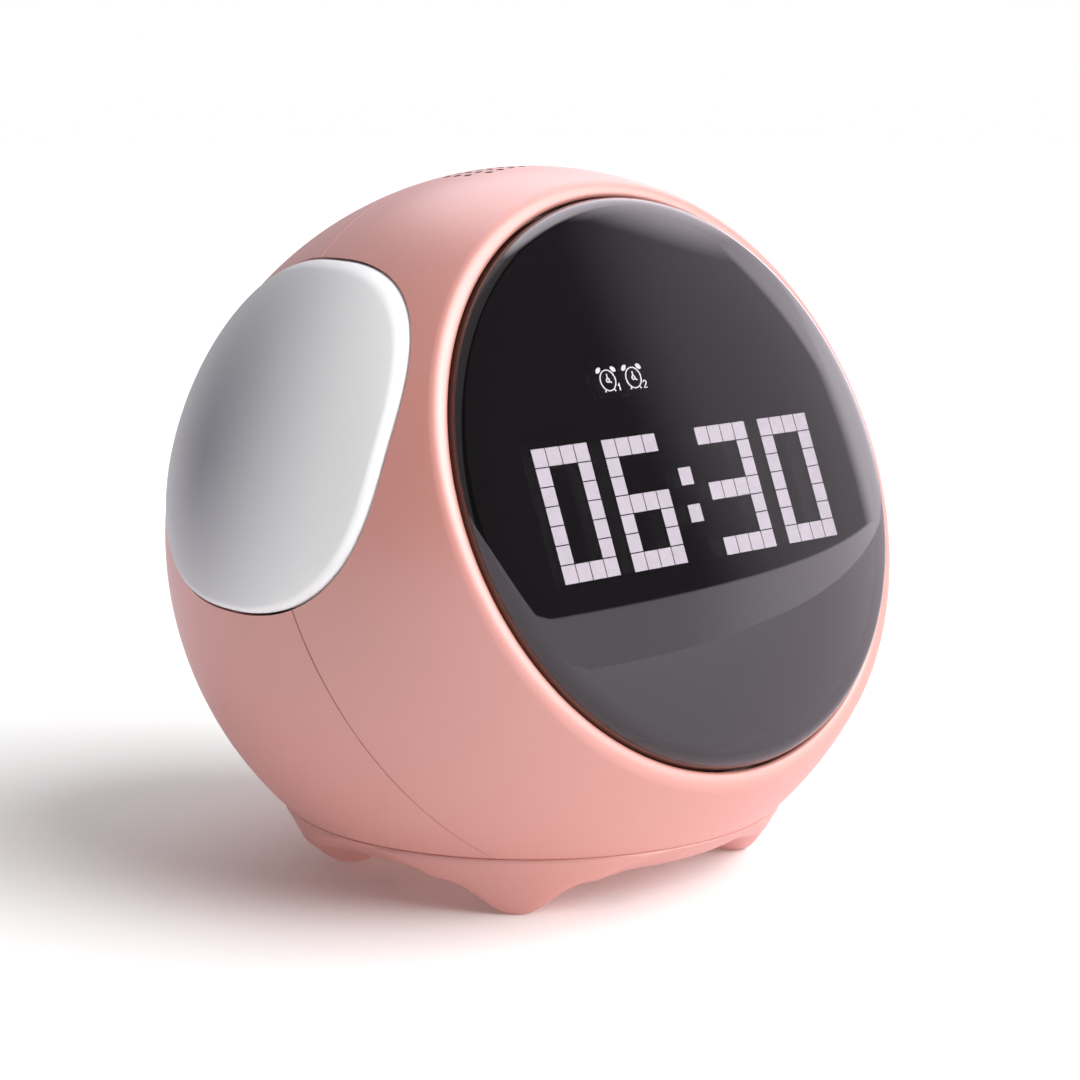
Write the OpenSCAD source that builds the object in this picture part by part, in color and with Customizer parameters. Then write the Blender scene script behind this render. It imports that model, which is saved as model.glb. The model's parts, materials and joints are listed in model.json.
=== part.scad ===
// Kids' alarm clock with night light: a ball on four small feet, with a tilted round display
// under a smoked domed lens and a milky night-light ear on each side.
// Two shells meet on a plane square to the display's axis and stand on a base plate.
// X runs across, the display looks towards -Y and upwards, Z is up, and Z = 0 is the table.

/* [Body] */
// Outer radius of the ball
body_r = 50; // [49:0.5:56]
// Wall of the two shells
wall = 2.2; // [1.8:0.1:2.4]
// Upward tilt of the display's axis, in degrees
tilt = 21; // [18:1:23]
// How far ahead of the ball's centre the two shells meet
parting = 6.4; // [5:0.2:7]
// Length of the tongue that lines the shells up
tongue_l = 3; // [2:0.5:4]
// Thickness of the tongue
tongue_t = 1.2; // [1:0.1:1.4]

/* [Base] */
// Radius of the flat underside
base_flat_r = 30; // [29:0.5:31]
// Thickness of the base plate
base_t = 3.7; // [3.4:0.1:4.2]
// Height of the feet under the base plate
foot_h = 5; // [4:0.5:7]
// Sideways distance of a foot from the middle
foot_x = 21; // [19:0.5:22]
// Distance of the front feet ahead of the ball's centre
foot_front = 18.6; // [17:0.2:19.5]
// Distance of the rear feet behind the ball's centre
foot_rear = 14.3; // [12:0.5:16]
// Radius of the flat tip of a foot
foot_tip_r = 2.2; // [1.8:0.1:3]
// Radius at which a foot runs out into the underside
foot_spread_r = 10; // [8:0.5:11]
// Distance of a foot's outer flank from the middle, at the table
foot_flank_r = 30.5; // [29:0.5:32]

/* [Lens] */
// How far the lens's edge lies inside the ball's outline
lens_inset = 11.8; // [11.4:0.1:13]
// Thickness of the lens
lens_t = 1.8; // [1.5:0.1:2.2]
// Gap around the lens
lens_gap = 0.3; // [0.2:0.05:0.4]
// How far the lens's shoulder starts below the rim
lens_sink = 0.2; // [0:0.1:1]
// Radius of the lens's crown
crown_r = 95; // [85:1:110]
// Radius of the lens's shoulder
shoulder_r = 3; // [2.5:0.1:4]
// Depth of the lens's seat below the rim
seat_depth = 4.7; // [4:0.1:5]
// Thickness of the seat
seat_t = 1.6; // [1.2:0.1:2]
// Width of the seat inside the opening
seat_w = 3; // [2.6:0.1:3.2]
// Thickness of the foam gasket under the lens
gasket_t = 0.5; // [0.3:0.1:0.8]
// Rounding of the rim towards the ball
rim_round = 2.5; // [1.5:0.1:3]
// Rounding of the rim towards the lens
lip_round = 0.6; // [0.4:0.1:0.8]

/* [Display] */
// Columns of light cells
grid_cols = 21; // [17:1:21]
// Rows of light cells
grid_rows = 7; // [5:1:7]
// Space between an end of the digits and the mask's edge
digit_margin = 8.56; // [8.4:0.02:12]
// Wall between two light cells
cell_wall = 0.5; // [0.3:0.05:0.8]
// Depth of the light cells
cell_depth = 6; // [5:0.5:7]
// Height of the display's face above the lens seat
face_rise = 5.5; // [5:0.1:5.8]
// Distance of the digits below the display's axis
grid_drop = 2.45; // [0:0.05:4]
// Distance of the alarm symbols above the display's axis
icon_rise = 13.7; // [12:0.1:15]
// Sideways place of the first alarm symbol
icon_x = -10.3; // [-12:0.1:-8]
// Distance between the alarm symbols
icon_pitch = 4.7; // [4.4:0.1:5.5]
// Thickness of the diffusing films
film_t = 0.3; // [0.2:0.05:0.4]
// Thickness of the black mask
mask_t = 0.8; // [0.6:0.1:1.2]
// Gap between the mask and the lens's side wall
mask_gap = 1.8; // [1.6:0.1:2.4]

/* [Ears] */
// Distance of an ear's front edge ahead of the ball's centre
ear_front = 18.5; // [16:0.5:18.5]
// Distance of an ear's rear edge from the ball's back
ear_rear_inset = 23.5; // [23.5:0.5:28]
// Distance of an ear's lower edge below the ball's centre
ear_low = 4.3; // [2:0.1:4.5]
// Distance of an ear's upper edge from the ball's top
ear_top_inset = 11.3; // [11.3:0.1:14]
// Squareness of an ear's outline, where 2 is an ellipse
ear_power = 2.5; // [2.2:0.1:2.8]
// How far an ear stands out of the ball
ear_proud = 0.8; // [0.4:0.1:1.2]
// Thickness of an ear
ear_t = 2.4; // [2:0.1:2.6]
// Gap around an ear
ear_gap = 0.3; // [0.25:0.05:0.4]
// Travel of an ear when pressed
ear_travel = 1; // [0.6:0.1:1.2]

/* [Sound] */
// Radius of the loudspeaker
speaker_r = 10; // [9:0.5:10]
// Height of the loudspeaker's basket
speaker_h = 3; // [2.5:0.5:4]
// Diameter of a sound hole
hole_d = 1.1; // [0.8:0.1:1.3]
// Pitch of the sound holes
hole_pitch = 2; // [1.8:0.1:2.4]
// Half length of the field of sound holes
field_x = 10.5; // [8:0.5:12]
// Half width of the field of sound holes
field_y = 5.5; // [4:0.5:6]

/* [Controls] */
// Radius of a rear button
button_r = 3; // [2.5:0.1:3.2]
// Distance between two rear buttons
button_pitch = 9.2; // [8.6:0.1:9.2]
// How far a rear button stands out of its panel
button_proud = 1.6; // [1.2:0.1:2.2]
// Travel of a rear button
button_travel = 0.8; // [0.4:0.1:1]
// Half length of the rear panel
panel_half = 18; // [17.8:0.1:18.5]
// Half height of the rear panel
panel_r = 6.5; // [6:0.1:7]
// Elevation of the rear panel above the ball's middle, in degrees
panel_angle = 14; // [12:1:18]
// Elevation of the charging socket, in degrees
port_angle = -18; // [-22:1:-16]

/* [Battery] */
// Radius of the battery cell
cell_r = 9.2; // [7:0.1:9.3]
// Length of the battery cell
cell_l = 65; // [50:1:66]
// Thickness of the cradle's bed under the cell
cell_bed = 5.1; // [4.6:0.1:6]

/* [Hidden] */
$fn = 72;

// Heights in the ball's frame, from its centre
underside_z = -sqrt(pow(body_r, 2) - pow(base_flat_r, 2));
seam_z = underside_z + base_t;
seam_r = sqrt(pow(body_r, 2) - pow(seam_z, 2));
centre_z = foot_h - underside_z;

// Rim and lens, as radius and height along the display's axis
lens_r = body_r - lens_inset;
opening_r = lens_r + lens_gap;
rim_flat = 0.2;
rim_step = 6;
crest_r = opening_r + lip_round + rim_flat;
rim_h = sqrt(pow(body_r - rim_round, 2) - pow(crest_r, 2)) + rim_round;
seat_h = rim_h - seat_depth;
seat_r = opening_r - seat_w;
side_h = rim_h - lens_sink;
apex_h = side_h + crown_r - sqrt(pow(crown_r - shoulder_r, 2) - pow(lens_r - shoulder_r, 2));

// The ball is moved back so that the whole clock is centred over the origin
front_reach = crown_r - (crown_r - apex_h) * cos(tilt);
body_y = (front_reach - body_r) / 2;

// Steps of a foot's bell and how early it widens, where 1 is even
foot_steps = 8;
foot_skew = 0.85;

// Start and sweep of each stretch of the tongue around the display's axis
tongue_spans = [[62, 8], [110, 8], [196, 148]];
tongue_back = 2;

// Display stack, as heights along the display's axis
face_h = seat_h + face_rise;
board_t = 1.6;
led_h = face_h - cell_depth;
board_play = 1.1;
board_r = seat_r - board_play;
mask_r = lens_r - lens_t - mask_gap;
skirt_t = 1.2;
skirt_inset = 0.4;
skirt_r = board_r - skirt_inset;
cell_pitch = 2 * (mask_r - digit_margin) / grid_cols;
grid_w = grid_cols * cell_pitch;
grid_d = grid_rows * cell_pitch;
grid_border = 1.2;
grid_fit = 0.1;
icon_w = 2 * icon_pitch;
icon_d = 4.6;
icon_wall = 0.6;
icon_label = 0.6;
icon_mid = icon_x + icon_pitch / 2 + icon_label;
led_size = [1.6, 0.8, 0.6];

// Bracket behind the display
bracket_h = seat_h - seat_t;
bracket_t = 2;
bracket_r = seat_r + board_play;
bracket_floor = led_h - board_t;
bracket_window = [40, 16];
tab_w = 7;
tab_angles = [58, 122, 238, 302];
tab_screw_out = 1.3;
tab_screw_r = opening_r + tab_screw_out;
tab_clear = 0.4;

// Screws: shank radius, head radius and height, recess, the play of a screw hole and its spare depth
screw_r = 0.9;
head_r = 1.8;
head_h = 1.5;
recess_r = 1;
recess_h = 0.8;
pilot = 0.05;
spare_depth = 0.3;
shank_play = 0.25;

// How deep the screws bite: bracket and board posts, tabs, loudspeaker clamp, charging board, base
post_bite = 4;
tab_bite = 3.4;
clamp_bite = 3.2;
rail_bite = 2.4;
base_bite = 6;

// Main board behind the bracket
post_r = 2.5;
post_l = 7.3;
post_x = 20;
post_y = 15;
main_w = 48;
main_d = 38;
main_top = bracket_h - bracket_t - post_l;
main_bottom = main_top - board_t;
header_size = [20.6, 5];
header_y = 3;
chip_sizes = [[10, 10, 1.2], [5, 4, 1], [5, 4, 1], [4, 4, 2], [3.2, 2.5, 0.8], [6, 5, 1.6]];
chip_places = [[0, 6], [-13, 8], [-13, 1], [12, 9], [12, 3], [0, -5]];
charge_tap = [-21, 2];
cap_r = 2.5;
cap_l = 5;
cap_place = [18, 2];
plug_size = [6, 4.4, 5];
plug_y = -14.5;
plug_x = [-14, -7, 0, 7, 14];

// Battery, cradle and strap
cell_y = 4;
cell_drop = -seam_z - cell_bed - cell_r;
cell_tip_l = 1;
cell_tip_r = 2.8;
cradle_play = 0.1;
cradle_half_x = 20;
cradle_half_y = 11.5;
cradle_flange = [28, 5, 2];
cradle_pocket_x = 12;
cradle_roof = 4;
cradle_screw_x = 24.5;
cradle_points = [[cradle_screw_x, cell_y], [-cradle_screw_x, cell_y]];
strap_w = 12;
strap_t = 0.8;

// Loudspeaker under the sound holes
grille_y = 4;
speaker_gap = 0.15;
speaker_rim_w = 1.4;
skirt_drop = 2.2;
seat_spread = 4.6;
seat_sink = 0.3;
speaker_seat_z = sqrt(pow(body_r - wall, 2) - pow(speaker_r + seat_spread, 2)) - seat_sink;
basket_t = 1;
coil_r = 3.4;
cone_t = 0.5;
foam_t = 0.6;
speaker_top = speaker_seat_z - foam_t;
speaker_bottom = speaker_top - speaker_h;
magnet_r = 7;
magnet_h = 3;
clamp_t = 1.2;
clamp_post_out = 5;
clamp_post_x = speaker_r + clamp_post_out;
clamp_post_r = 2.6;

// Ears: half sizes and middle of their outline, seen from the side
ear_half_y = (body_r - ear_rear_inset + ear_front) / 2;
ear_half_z = (body_r - ear_top_inset + ear_low) / 2;
ear_y = ear_half_y - ear_front;
ear_z = ear_half_z - ear_low;
ear_in_r = body_r + ear_proud - ear_t;
travel_play = 0.3;
pocket_r = ear_in_r - ear_travel - travel_play;

// Carriers and night-light boards behind the ears, along X
carrier_t = 3;
light_board_t = 1.2;
carrier_inset = 4;
light_board_inset = 5;
guide_r = 1.8;
guide_play = 0.15;
guide_inset = 8.5;
guide_dz = ear_half_z - guide_inset;
guide_screw_l = 8;
guide_head_r = 2.8;
carrier_clear = 3.9;
carrier_cut_h = bracket_h - bracket_t - carrier_clear;
carrier_boss_r = 2.6;
carrier_tab_r = 2.9;
carrier_back = 2;
carrier_gap = 0.4;
carrier_under = 5.2;
carrier_low_dz = 15.2;
carrier_edge = 4.6;
carrier_points = [[ear_y + ear_half_y + carrier_back, ear_z - carrier_low_dz],
    [ear_y + ear_half_y + carrier_back, ear_z],
    [cell_y + cell_r + carrier_tab_r + carrier_gap, ear_z - ear_half_z - carrier_under]];
carrier_face = sqrt(pow(body_r - wall, 2) - pow(norm(carrier_points[1]) + carrier_edge, 2));
light_top = carrier_face + light_board_t;
switch_gap = 0.1;
ear_switch = [6, 6, 3.5];
ear_stem_r = 1.6;
ear_stem_h = 2.2;
ear_boss_r = 4;
ear_boss_x = light_top + ear_switch[2] + ear_stem_h + ear_travel + switch_gap;
light_screw_inset = 10;
light_screw_dy = ear_half_y - light_screw_inset;
night_led = [2.8, 3.5, 1.4];
night_led_places = [[-9, 8], [9, 8], [-9, -8], [9, -8], [-6, 0], [6, 0]];
light_tap = [8, -6];

// Rear panel and its buttons, outwards along the panel's axis
panel_t = 2;
panel_sink = 0.85;
panel_face = sqrt(pow(body_r, 2) - pow(panel_half, 2)) - panel_sink;
panel_back = panel_face - panel_t;
panel_play = 0.15;
lip_w = 1.2;
lip_l = 2;
collar_t = 1.6;
button_play = 0.25;
flange_w = 0.8;
flange_t = 1.2;
button_switch = [4.5, 4.5, 2];
button_stem_r = 1.1;
button_stem_h = 0.6;
button_board_top = panel_back - flange_t - button_travel - switch_gap - button_stem_h
    - button_switch[2];
button_board_r = 5;
button_board_end = 3;
button_tap = 4;
panel_post_r = 1.5;
panel_post_gap = 0.4;
panel_post_x = button_pitch + button_r + flange_w + panel_post_r + panel_post_gap;

// Charging socket, outwards along its own axis
port_half = 4.45;
port_r = 1.6;
port_l = 7.4;
port_wall = 0.3;
port_play = 0.2;
port_depth = 0.8;
port_mouth = body_r - port_depth;
port_back = 1;
port_tongue = [6.7, 0.7, 5.3];
charge_w = 18;
charge_t = 1.2;
charge_l = 14.5;
charge_corner = 2;
charge_gap = 1;
charge_far = sqrt(pow(body_r - wall, 2) - pow(charge_w / 2 + charge_corner, 2)) - charge_gap;
charge_near = charge_far - charge_l;
rail_w = 4;
rail_h = 3;
rail_inset = 3;
rail_near = charge_near + rail_inset;
charge_screw_x = 7;
charge_screw_z = rail_near + rail_inset;
charge_out = [-5, 2];

// Screws through the base plate
base_points = [[10, -25.5], [-10, -25.5], [14, 24], [-14, 24]];
base_post_r = 3;
base_post_l = 8;
base_rib_t = 1.6;
sink_play = 0.2;
sink_depth = 1.7;

// Leads
lead_r = 0.6;
lead_sides = 6;
lead_steps = 5;
lead_start = 4;

skin = "#e3a39b";
milk = "#dcdedf";
smoke = "#241b24";
black = "#1c1a1e";
circuit = "#20603c";
steel = "#a8abb0";
white = "#f2f2f0";

// ---- Frames ----

// The ball's centre over the table
module in_ball() {
    translate([0, body_y, centre_z]) children();
}

// Z along the display's axis, Y up the display's face
module on_display() {
    in_ball() rotate([90 - tilt, 0, 0]) children();
}

// Z outwards at the back, at an elevation
module at_back(elevation) {
    in_ball() rotate([elevation - 90, 0, 0]) children();
}

// The right-hand side is 1 and the left-hand side is -1
module on_side(side) {
    in_ball() {
        if (side < 0) mirror([1, 0, 0]) children();
        else children();
    }
}

// A point of the display's frame in the ball's frame
function display_point(p) = [p[0], sin(tilt) * p[1] - cos(tilt) * p[2],
    cos(tilt) * p[1] + sin(tilt) * p[2]];

// ---- Shapes that repeat ----

function arc(centre, r, from, to, steps = 8) =
    [for (i = [0:steps]) let (a = from + (to - from) * i / steps) centre + r * [cos(a), sin(a)]];

module ring(outer, inner, height) {
    difference() {
        cylinder(r = outer, h = height);
        translate([0, 0, -1]) cylinder(r = inner, h = height + 2);
    }
}

// A slot with round ends; half is its half length
module stadium(half, r) {
    square([2 * (half - r), 2 * r], center = true);
    for (x = [-1, 1]) translate([x * (half - r), 0]) circle(r = r);
}

module block(size) {
    translate([-size[0] / 2, -size[1] / 2, 0]) cube(size);
}

// A screw whose head's underside is at Z = 0 and whose shank points up
module screw(length) {
    cylinder(r = screw_r, h = length);
    difference() {
        translate([0, 0, -head_h]) cylinder(r = head_r, h = head_h);
        translate([0, 0, -head_h - 0.1]) cylinder(r = recess_r, h = recess_h + 0.1, $fn = 6);
    }
}

// A blind hole for a screw
module screw_hole(length) {
    translate([0, 0, -0.01]) cylinder(r = screw_r + pilot, h = length + spare_depth);
}

// Smooth tube through a list of points
function unit(v) = v / norm(v);
function slope(p, i) = i == 0 ? p[1] - p[0] : i == len(p) - 1 ? p[i] - p[i - 1]
    : unit(p[i + 1] - p[i - 1]) * min(norm(p[i + 1] - p[i]), norm(p[i] - p[i - 1]));
function bend(p, i, t) = pow(1 - t, 2) * ((1 + 2 * t) * p[i] + t * slope(p, i))
    + pow(t, 2) * ((3 - 2 * t) * p[i + 1] - (1 - t) * slope(p, i + 1));
function route(p) = concat([for (i = [0:len(p) - 2], s = [0:lead_steps - 1])
    bend(p, i, s / lead_steps)], [p[len(p) - 1]]);
module lead(points, r = lead_r) {
    path = route(points);
    n = len(path);
    aside = [0.31, 0.17, 0.93];
    heading = [for (i = [0:n - 1]) i == 0 ? slope(points, 0)
        : i == n - 1 ? slope(points, len(points) - 1) : path[i + 1] - path[i - 1]];
    rings = [for (i = [0:n - 1])
        let (t = unit(heading[i]), u = unit(cross(t, aside)), w = cross(t, u))
        for (k = [0:lead_sides - 1]) let (a = 360 * k / lead_sides)
            path[i] + r * (cos(a) * u + sin(a) * w)];
    ends = [[for (k = [0:lead_sides - 1]) k],
        [for (k = [0:lead_sides - 1]) (n - 1) * lead_sides + lead_sides - 1 - k]];
    sides = [for (i = [0:n - 2], k = [0:lead_sides - 1])
        let (a = i * lead_sides + k, b = i * lead_sides + (k + 1) % lead_sides)
        [a, a + lead_sides, b + lead_sides, b]];
    polyhedron(points = rings, faces = concat(ends, sides));
}

// ---- Shells ----

// Section of the ball's wall
module wall_section() {
    difference() {
        circle(r = body_r);
        circle(r = body_r - wall);
    }
}

// Half section of the front shell: the wall, the ring that holds the lens, the rim and the opening
module shell_section() {
    turn = atan2(rim_h - rim_round, crest_r);
    lip = arc([opening_r + lip_round, rim_h - lip_round], lip_round, 180, 90, 5);
    rim = arc([crest_r, rim_h - rim_round], rim_round, 90, turn + rim_step);
    start = (body_r + rim_round / 8) * [cos(turn - rim_step / 4), sin(turn - rim_step / 4)];
    difference() {
        union() {
            wall_section();
            intersection() {
                circle(r = body_r - wall / 2);
                translate([seat_r, bracket_h]) square([body_r, body_r]);
            }
        }
        translate([-body_r - 1, -body_r - 1]) square([body_r + 1, 2 * body_r + 2]);
        polygon(concat([[-1, body_r + 1], [-1, seat_h], [opening_r, seat_h]], lip, rim,
            [start, [body_r + 1, start[1]], [body_r + 1, body_r + 1]]));
    }
}

// Everything in front of (1) or behind (-1) the plane where the shells meet
module half_space(side) {
    size = 2 * body_r + 10;
    on_display() translate([-size / 2, -size / 2, side > 0 ? parting : parting - size]) cube(size);
}

module below_seam() {
    in_ball() translate([0, 0, seam_z - body_r]) cylinder(r = body_r + 1, h = body_r);
}

module ear_outline(grow = 0) {
    count = 72;
    polygon([for (i = [0:count - 1]) let (a = 360 * i / count)
        [(ear_half_y + grow) * sign(cos(a)) * pow(abs(cos(a)), 2 / ear_power) + ear_y,
            (ear_half_z + grow) * sign(sin(a)) * pow(abs(sin(a)), 2 / ear_power) + ear_z]]);
}

module along_x(from, to) {
    translate([from, 0, 0]) rotate([90, 0, 90]) linear_extrude(height = to - from) children();
}

module ear_pocket(side) {
    on_side(side) difference() {
        along_x(body_r * 0.3, body_r + 5) ear_outline(ear_gap);
        sphere(r = pocket_r);
    }
}

module sound_holes() {
    nx = floor(field_x / hole_pitch);
    ny = floor(field_y / hole_pitch);
    in_ball() for (i = [-nx:nx], j = [-ny:ny]) let (x = i * hole_pitch, y = j * hole_pitch)
        if (pow(x / field_x, 4) + pow(y / field_y, 4) < 0.9)
            translate([x, grille_y + y, speaker_seat_z - 1])
                cylinder(r = hole_d / 2, h = body_r, $fn = 24);
}

// Seat and skirt that hold the loudspeaker under the sound holes
module speaker_seat() {
    in_ball() intersection() {
        translate([0, grille_y, 0]) difference() {
            translate([0, 0, speaker_seat_z - skirt_drop])
                cylinder(r = speaker_r + speaker_gap + speaker_rim_w, h = body_r);
            cylinder(r = speaker_r + speaker_gap, h = speaker_seat_z);
            cylinder(r = speaker_r - speaker_rim_w, h = body_r + 1);
        }
        sphere(r = body_r - wall / 2);
    }
}

module clamp_posts() {
    in_ball() intersection() {
        for (x = [-1, 1]) translate([x * clamp_post_x, grille_y, speaker_bottom]) difference() {
            cylinder(r = clamp_post_r, h = body_r - speaker_bottom);
            screw_hole(clamp_bite);
        }
        sphere(r = body_r - wall / 2);
    }
}

module base_post(p) {
    in_ball() intersection() {
        translate([p[0], p[1], seam_z]) difference() {
            union() {
                cylinder(r = base_post_r, h = base_post_l);
                rotate([0, 0, atan2(p[1], p[0])]) translate([0, -base_rib_t / 2, 0])
                    cube([body_r, base_rib_t, base_post_l]);
            }
            screw_hole(base_bite);
        }
        sphere(r = body_r - wall / 2);
    }
}

module front_shell() {
    color(skin) difference() {
        union() {
            on_display() rotate_extrude() intersection() {
                shell_section();
                translate([0, parting]) square([body_r, body_r]);
            }
            intersection() {
                speaker_seat();
                half_space(1);
            }
            clamp_posts();
            for (p = base_points) if (p[1] < 0) base_post(p);
        }
        below_seam();
        for (side = [-1, 1]) ear_pocket(side);
        sound_holes();
        on_display() for (a = tab_angles) rotate([0, 0, a]) translate([tab_screw_r, 0, bracket_h])
            screw_hole(tab_bite);
    }
}

// Tongue behind the front shell, in stretches between the ears and the loudspeaker
module tongue() {
    out_r = body_r - wall - panel_play;
    on_display() for (s = tongue_spans) rotate([0, 0, s[0]]) rotate_extrude(angle = s[1])
        intersection() {
            difference() {
                circle(r = body_r - wall / 2);
                circle(r = out_r - tongue_t);
                difference() {
                    translate([0, parting - tongue_back / 4]) square([body_r, tongue_l + tongue_back]);
                    circle(r = out_r);
                }
            }
            translate([0, parting - tongue_back]) square([body_r, tongue_l + tongue_back]);
        }
}

module panel_collar() {
    at_back(panel_angle) intersection() {
        translate([0, 0, panel_back - lip_l]) linear_extrude(height = body_r)
            stadium(panel_half + panel_play + collar_t, panel_r + panel_play + collar_t);
        sphere(r = body_r - wall / 2);
    }
}

module panel_opening() {
    at_back(panel_angle) {
        translate([0, 0, panel_back]) linear_extrude(height = body_r)
            stadium(panel_half + panel_play, panel_r + panel_play);
        translate([0, 0, panel_back - lip_l - 1]) linear_extrude(height = lip_l + 2)
            stadium(panel_half - lip_w, panel_r - lip_w);
    }
}

module charge_rails() {
    at_back(port_angle) intersection() {
        for (x = [-1, 1])
            translate([x * (charge_w - rail_w) / 2, port_r + charge_t + rail_h / 2, rail_near])
                difference() {
                    block([rail_w, rail_h, body_r]);
                    translate([0, -rail_h / 2, charge_screw_z - rail_near])
                        rotate([-90, 0, 0]) screw_hole(rail_bite);
                }
        sphere(r = body_r - wall / 2);
    }
}

module carrier_posts(side) {
    on_side(side) intersection() {
        for (p = carrier_points) translate([carrier_face, p[0], p[1]]) rotate([0, 90, 0])
            difference() {
                cylinder(r = carrier_boss_r, h = body_r);
                screw_hole(tab_bite);
            }
        sphere(r = body_r - wall / 2);
    }
}

module rear_shell() {
    color(skin) difference() {
        union() {
            on_display() rotate_extrude() intersection() {
                wall_section();
                translate([0, -body_r]) square([body_r, body_r + parting]);
            }
            intersection() {
                speaker_seat();
                half_space(-1);
            }
            tongue();
            panel_collar();
            charge_rails();
            for (side = [-1, 1]) carrier_posts(side);
            for (p = base_points) if (p[1] > 0) base_post(p);
        }
        below_seam();
        for (side = [-1, 1]) ear_pocket(side);
        sound_holes();
        panel_opening();
        at_back(port_angle) translate([0, 0, charge_near]) linear_extrude(height = body_r)
            stadium(port_half + port_play, port_r + port_play);
    }
}

// ---- Base ----

// Section of one foot: a bell that runs out into the underside
module foot() {
    top = foot_h + base_t;
    bell = [for (i = [0:foot_steps]) let (s = i / foot_steps)
        [foot_tip_r + (foot_spread_r - foot_tip_r) * s, foot_h * (1 - cos(180 * pow(s, foot_skew))) / 2]];
    rotate_extrude() polygon(concat([[0, 0]], bell, [[foot_spread_r, top], [0, top]]));
}

module base_plate() {
    color(skin) difference() {
        union() {
            in_ball() intersection() {
                sphere(r = body_r);
                translate([0, 0, underside_z]) cylinder(r = body_r, h = base_t);
            }
            intersection() {
                for (x = [-1, 1], y = [-foot_front, foot_rear])
                    translate([x * foot_x, body_y + y, 0]) foot();
                translate([0, body_y, 0])
                    cylinder(r1 = foot_flank_r, r2 = seam_r, h = foot_h + base_t);
            }
        }
        in_ball() for (p = concat(base_points, cradle_points))
            translate([p[0], p[1], underside_z]) {
                translate([0, 0, -1]) cylinder(r = head_r + sink_play, h = sink_depth + 1);
                cylinder(r = screw_r + shank_play, h = base_t + 1);
            }
    }
}

module base_screws() {
    color(steel) in_ball() for (p = base_points) translate([p[0], p[1], underside_z + sink_depth])
        screw(base_t - sink_depth + base_bite);
}

// ---- Lens and display ----

// Half section of a dome: a straight side, a round shoulder and a flatter crown
module dome_section(r, apex, crown, shoulder, from) {
    crown_z = apex - crown;
    side_z = sqrt(pow(crown - shoulder, 2) - pow(r - shoulder, 2)) + crown_z;
    turn = atan2(side_z - crown_z, r - shoulder);
    meet = [r - shoulder, side_z] + shoulder * [cos(turn), sin(turn)];
    difference() {
        intersection() {
            translate([0, crown_z]) circle(r = crown, $fn = 360);
            translate([0, from]) square([r, apex - from + 1]);
        }
        polygon(concat(arc([r - shoulder, side_z], shoulder, 0, turn),
            [[meet[0], meet[1] + 2], [r + 1, meet[1] + 2], [r + 1, side_z]]));
    }
}

module lens_dome() {
    lens_h = seat_h + gasket_t;
    color(smoke) on_display() rotate_extrude() difference() {
        dome_section(lens_r, apex_h, crown_r, shoulder_r, lens_h);
        dome_section(lens_r - lens_t, apex_h - lens_t, crown_r - lens_t, shoulder_r - lens_t, lens_h - 1);
    }
}

module lens_gasket() {
    color(black) on_display() translate([0, 0, seat_h]) ring(lens_r - 0.1, seat_r + 0.2, gasket_t);
}

module grid_place() {
    on_display() translate([0, -grid_drop, 0]) children();
}

module icon_place() {
    on_display() translate([icon_mid, icon_rise, 0]) children();
}

module display_mask() {
    grid_edge = grid_border + grid_fit;
    icon_edge = icon_wall + grid_fit;
    color(black) difference() {
        on_display() {
            translate([0, 0, face_h - mask_t]) cylinder(r = mask_r, h = mask_t);
            translate([0, 0, led_h]) ring(skirt_r, skirt_r - skirt_t, cell_depth - mask_t / 2);
        }
        grid_place() translate([0, 0, led_h - 1])
            block([grid_w + 2 * grid_edge, grid_d + 2 * grid_edge, cell_depth + 2]);
        icon_place() translate([0, 0, led_h - 1])
            block([icon_w + 2 * icon_edge, icon_d + 2 * icon_edge, cell_depth + 2]);
    }
}

module pixel_grid() {
    opening = cell_pitch - cell_wall;
    color(black) grid_place() translate([0, 0, led_h]) linear_extrude(height = cell_depth) difference() {
        square([grid_w + 2 * grid_border, grid_d + 2 * grid_border], center = true);
        for (i = [0:grid_cols - 1], j = [0:grid_rows - 1])
            translate([(i - (grid_cols - 1) / 2) * cell_pitch, (j - (grid_rows - 1) / 2) * cell_pitch])
                square(opening, center = true);
    }
}

module digit_film() {
    color(white) grid_place() translate([0, 0, face_h])
        block([grid_w + grid_border, grid_d + grid_border, film_t]);
}

module icon_guide() {
    color(black) icon_place() translate([0, 0, led_h]) linear_extrude(height = cell_depth) difference() {
        square([icon_w + 2 * icon_wall, icon_d + 2 * icon_wall], center = true);
        for (x = [-1, 1]) translate([x * icon_w / 4, 0])
            square([icon_w / 2 - icon_wall, icon_d], center = true);
    }
}

module icon_film() {
    color(white) icon_place() translate([0, 0, face_h]) block([icon_w, icon_d, film_t]);
}

module led_board() {
    color(circuit) on_display() translate([0, 0, led_h - board_t]) cylinder(r = board_r, h = board_t);
}

module digit_leds() {
    color(white) grid_place() for (i = [0:grid_cols - 1], j = [0:grid_rows - 1])
        translate([(i - (grid_cols - 1) / 2) * cell_pitch, (j - (grid_rows - 1) / 2) * cell_pitch, led_h])
            block(led_size);
}

module icon_leds() {
    color(white) icon_place() for (x = [-1, 1]) translate([x * icon_w / 4, 0, led_h]) block(led_size);
}

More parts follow.
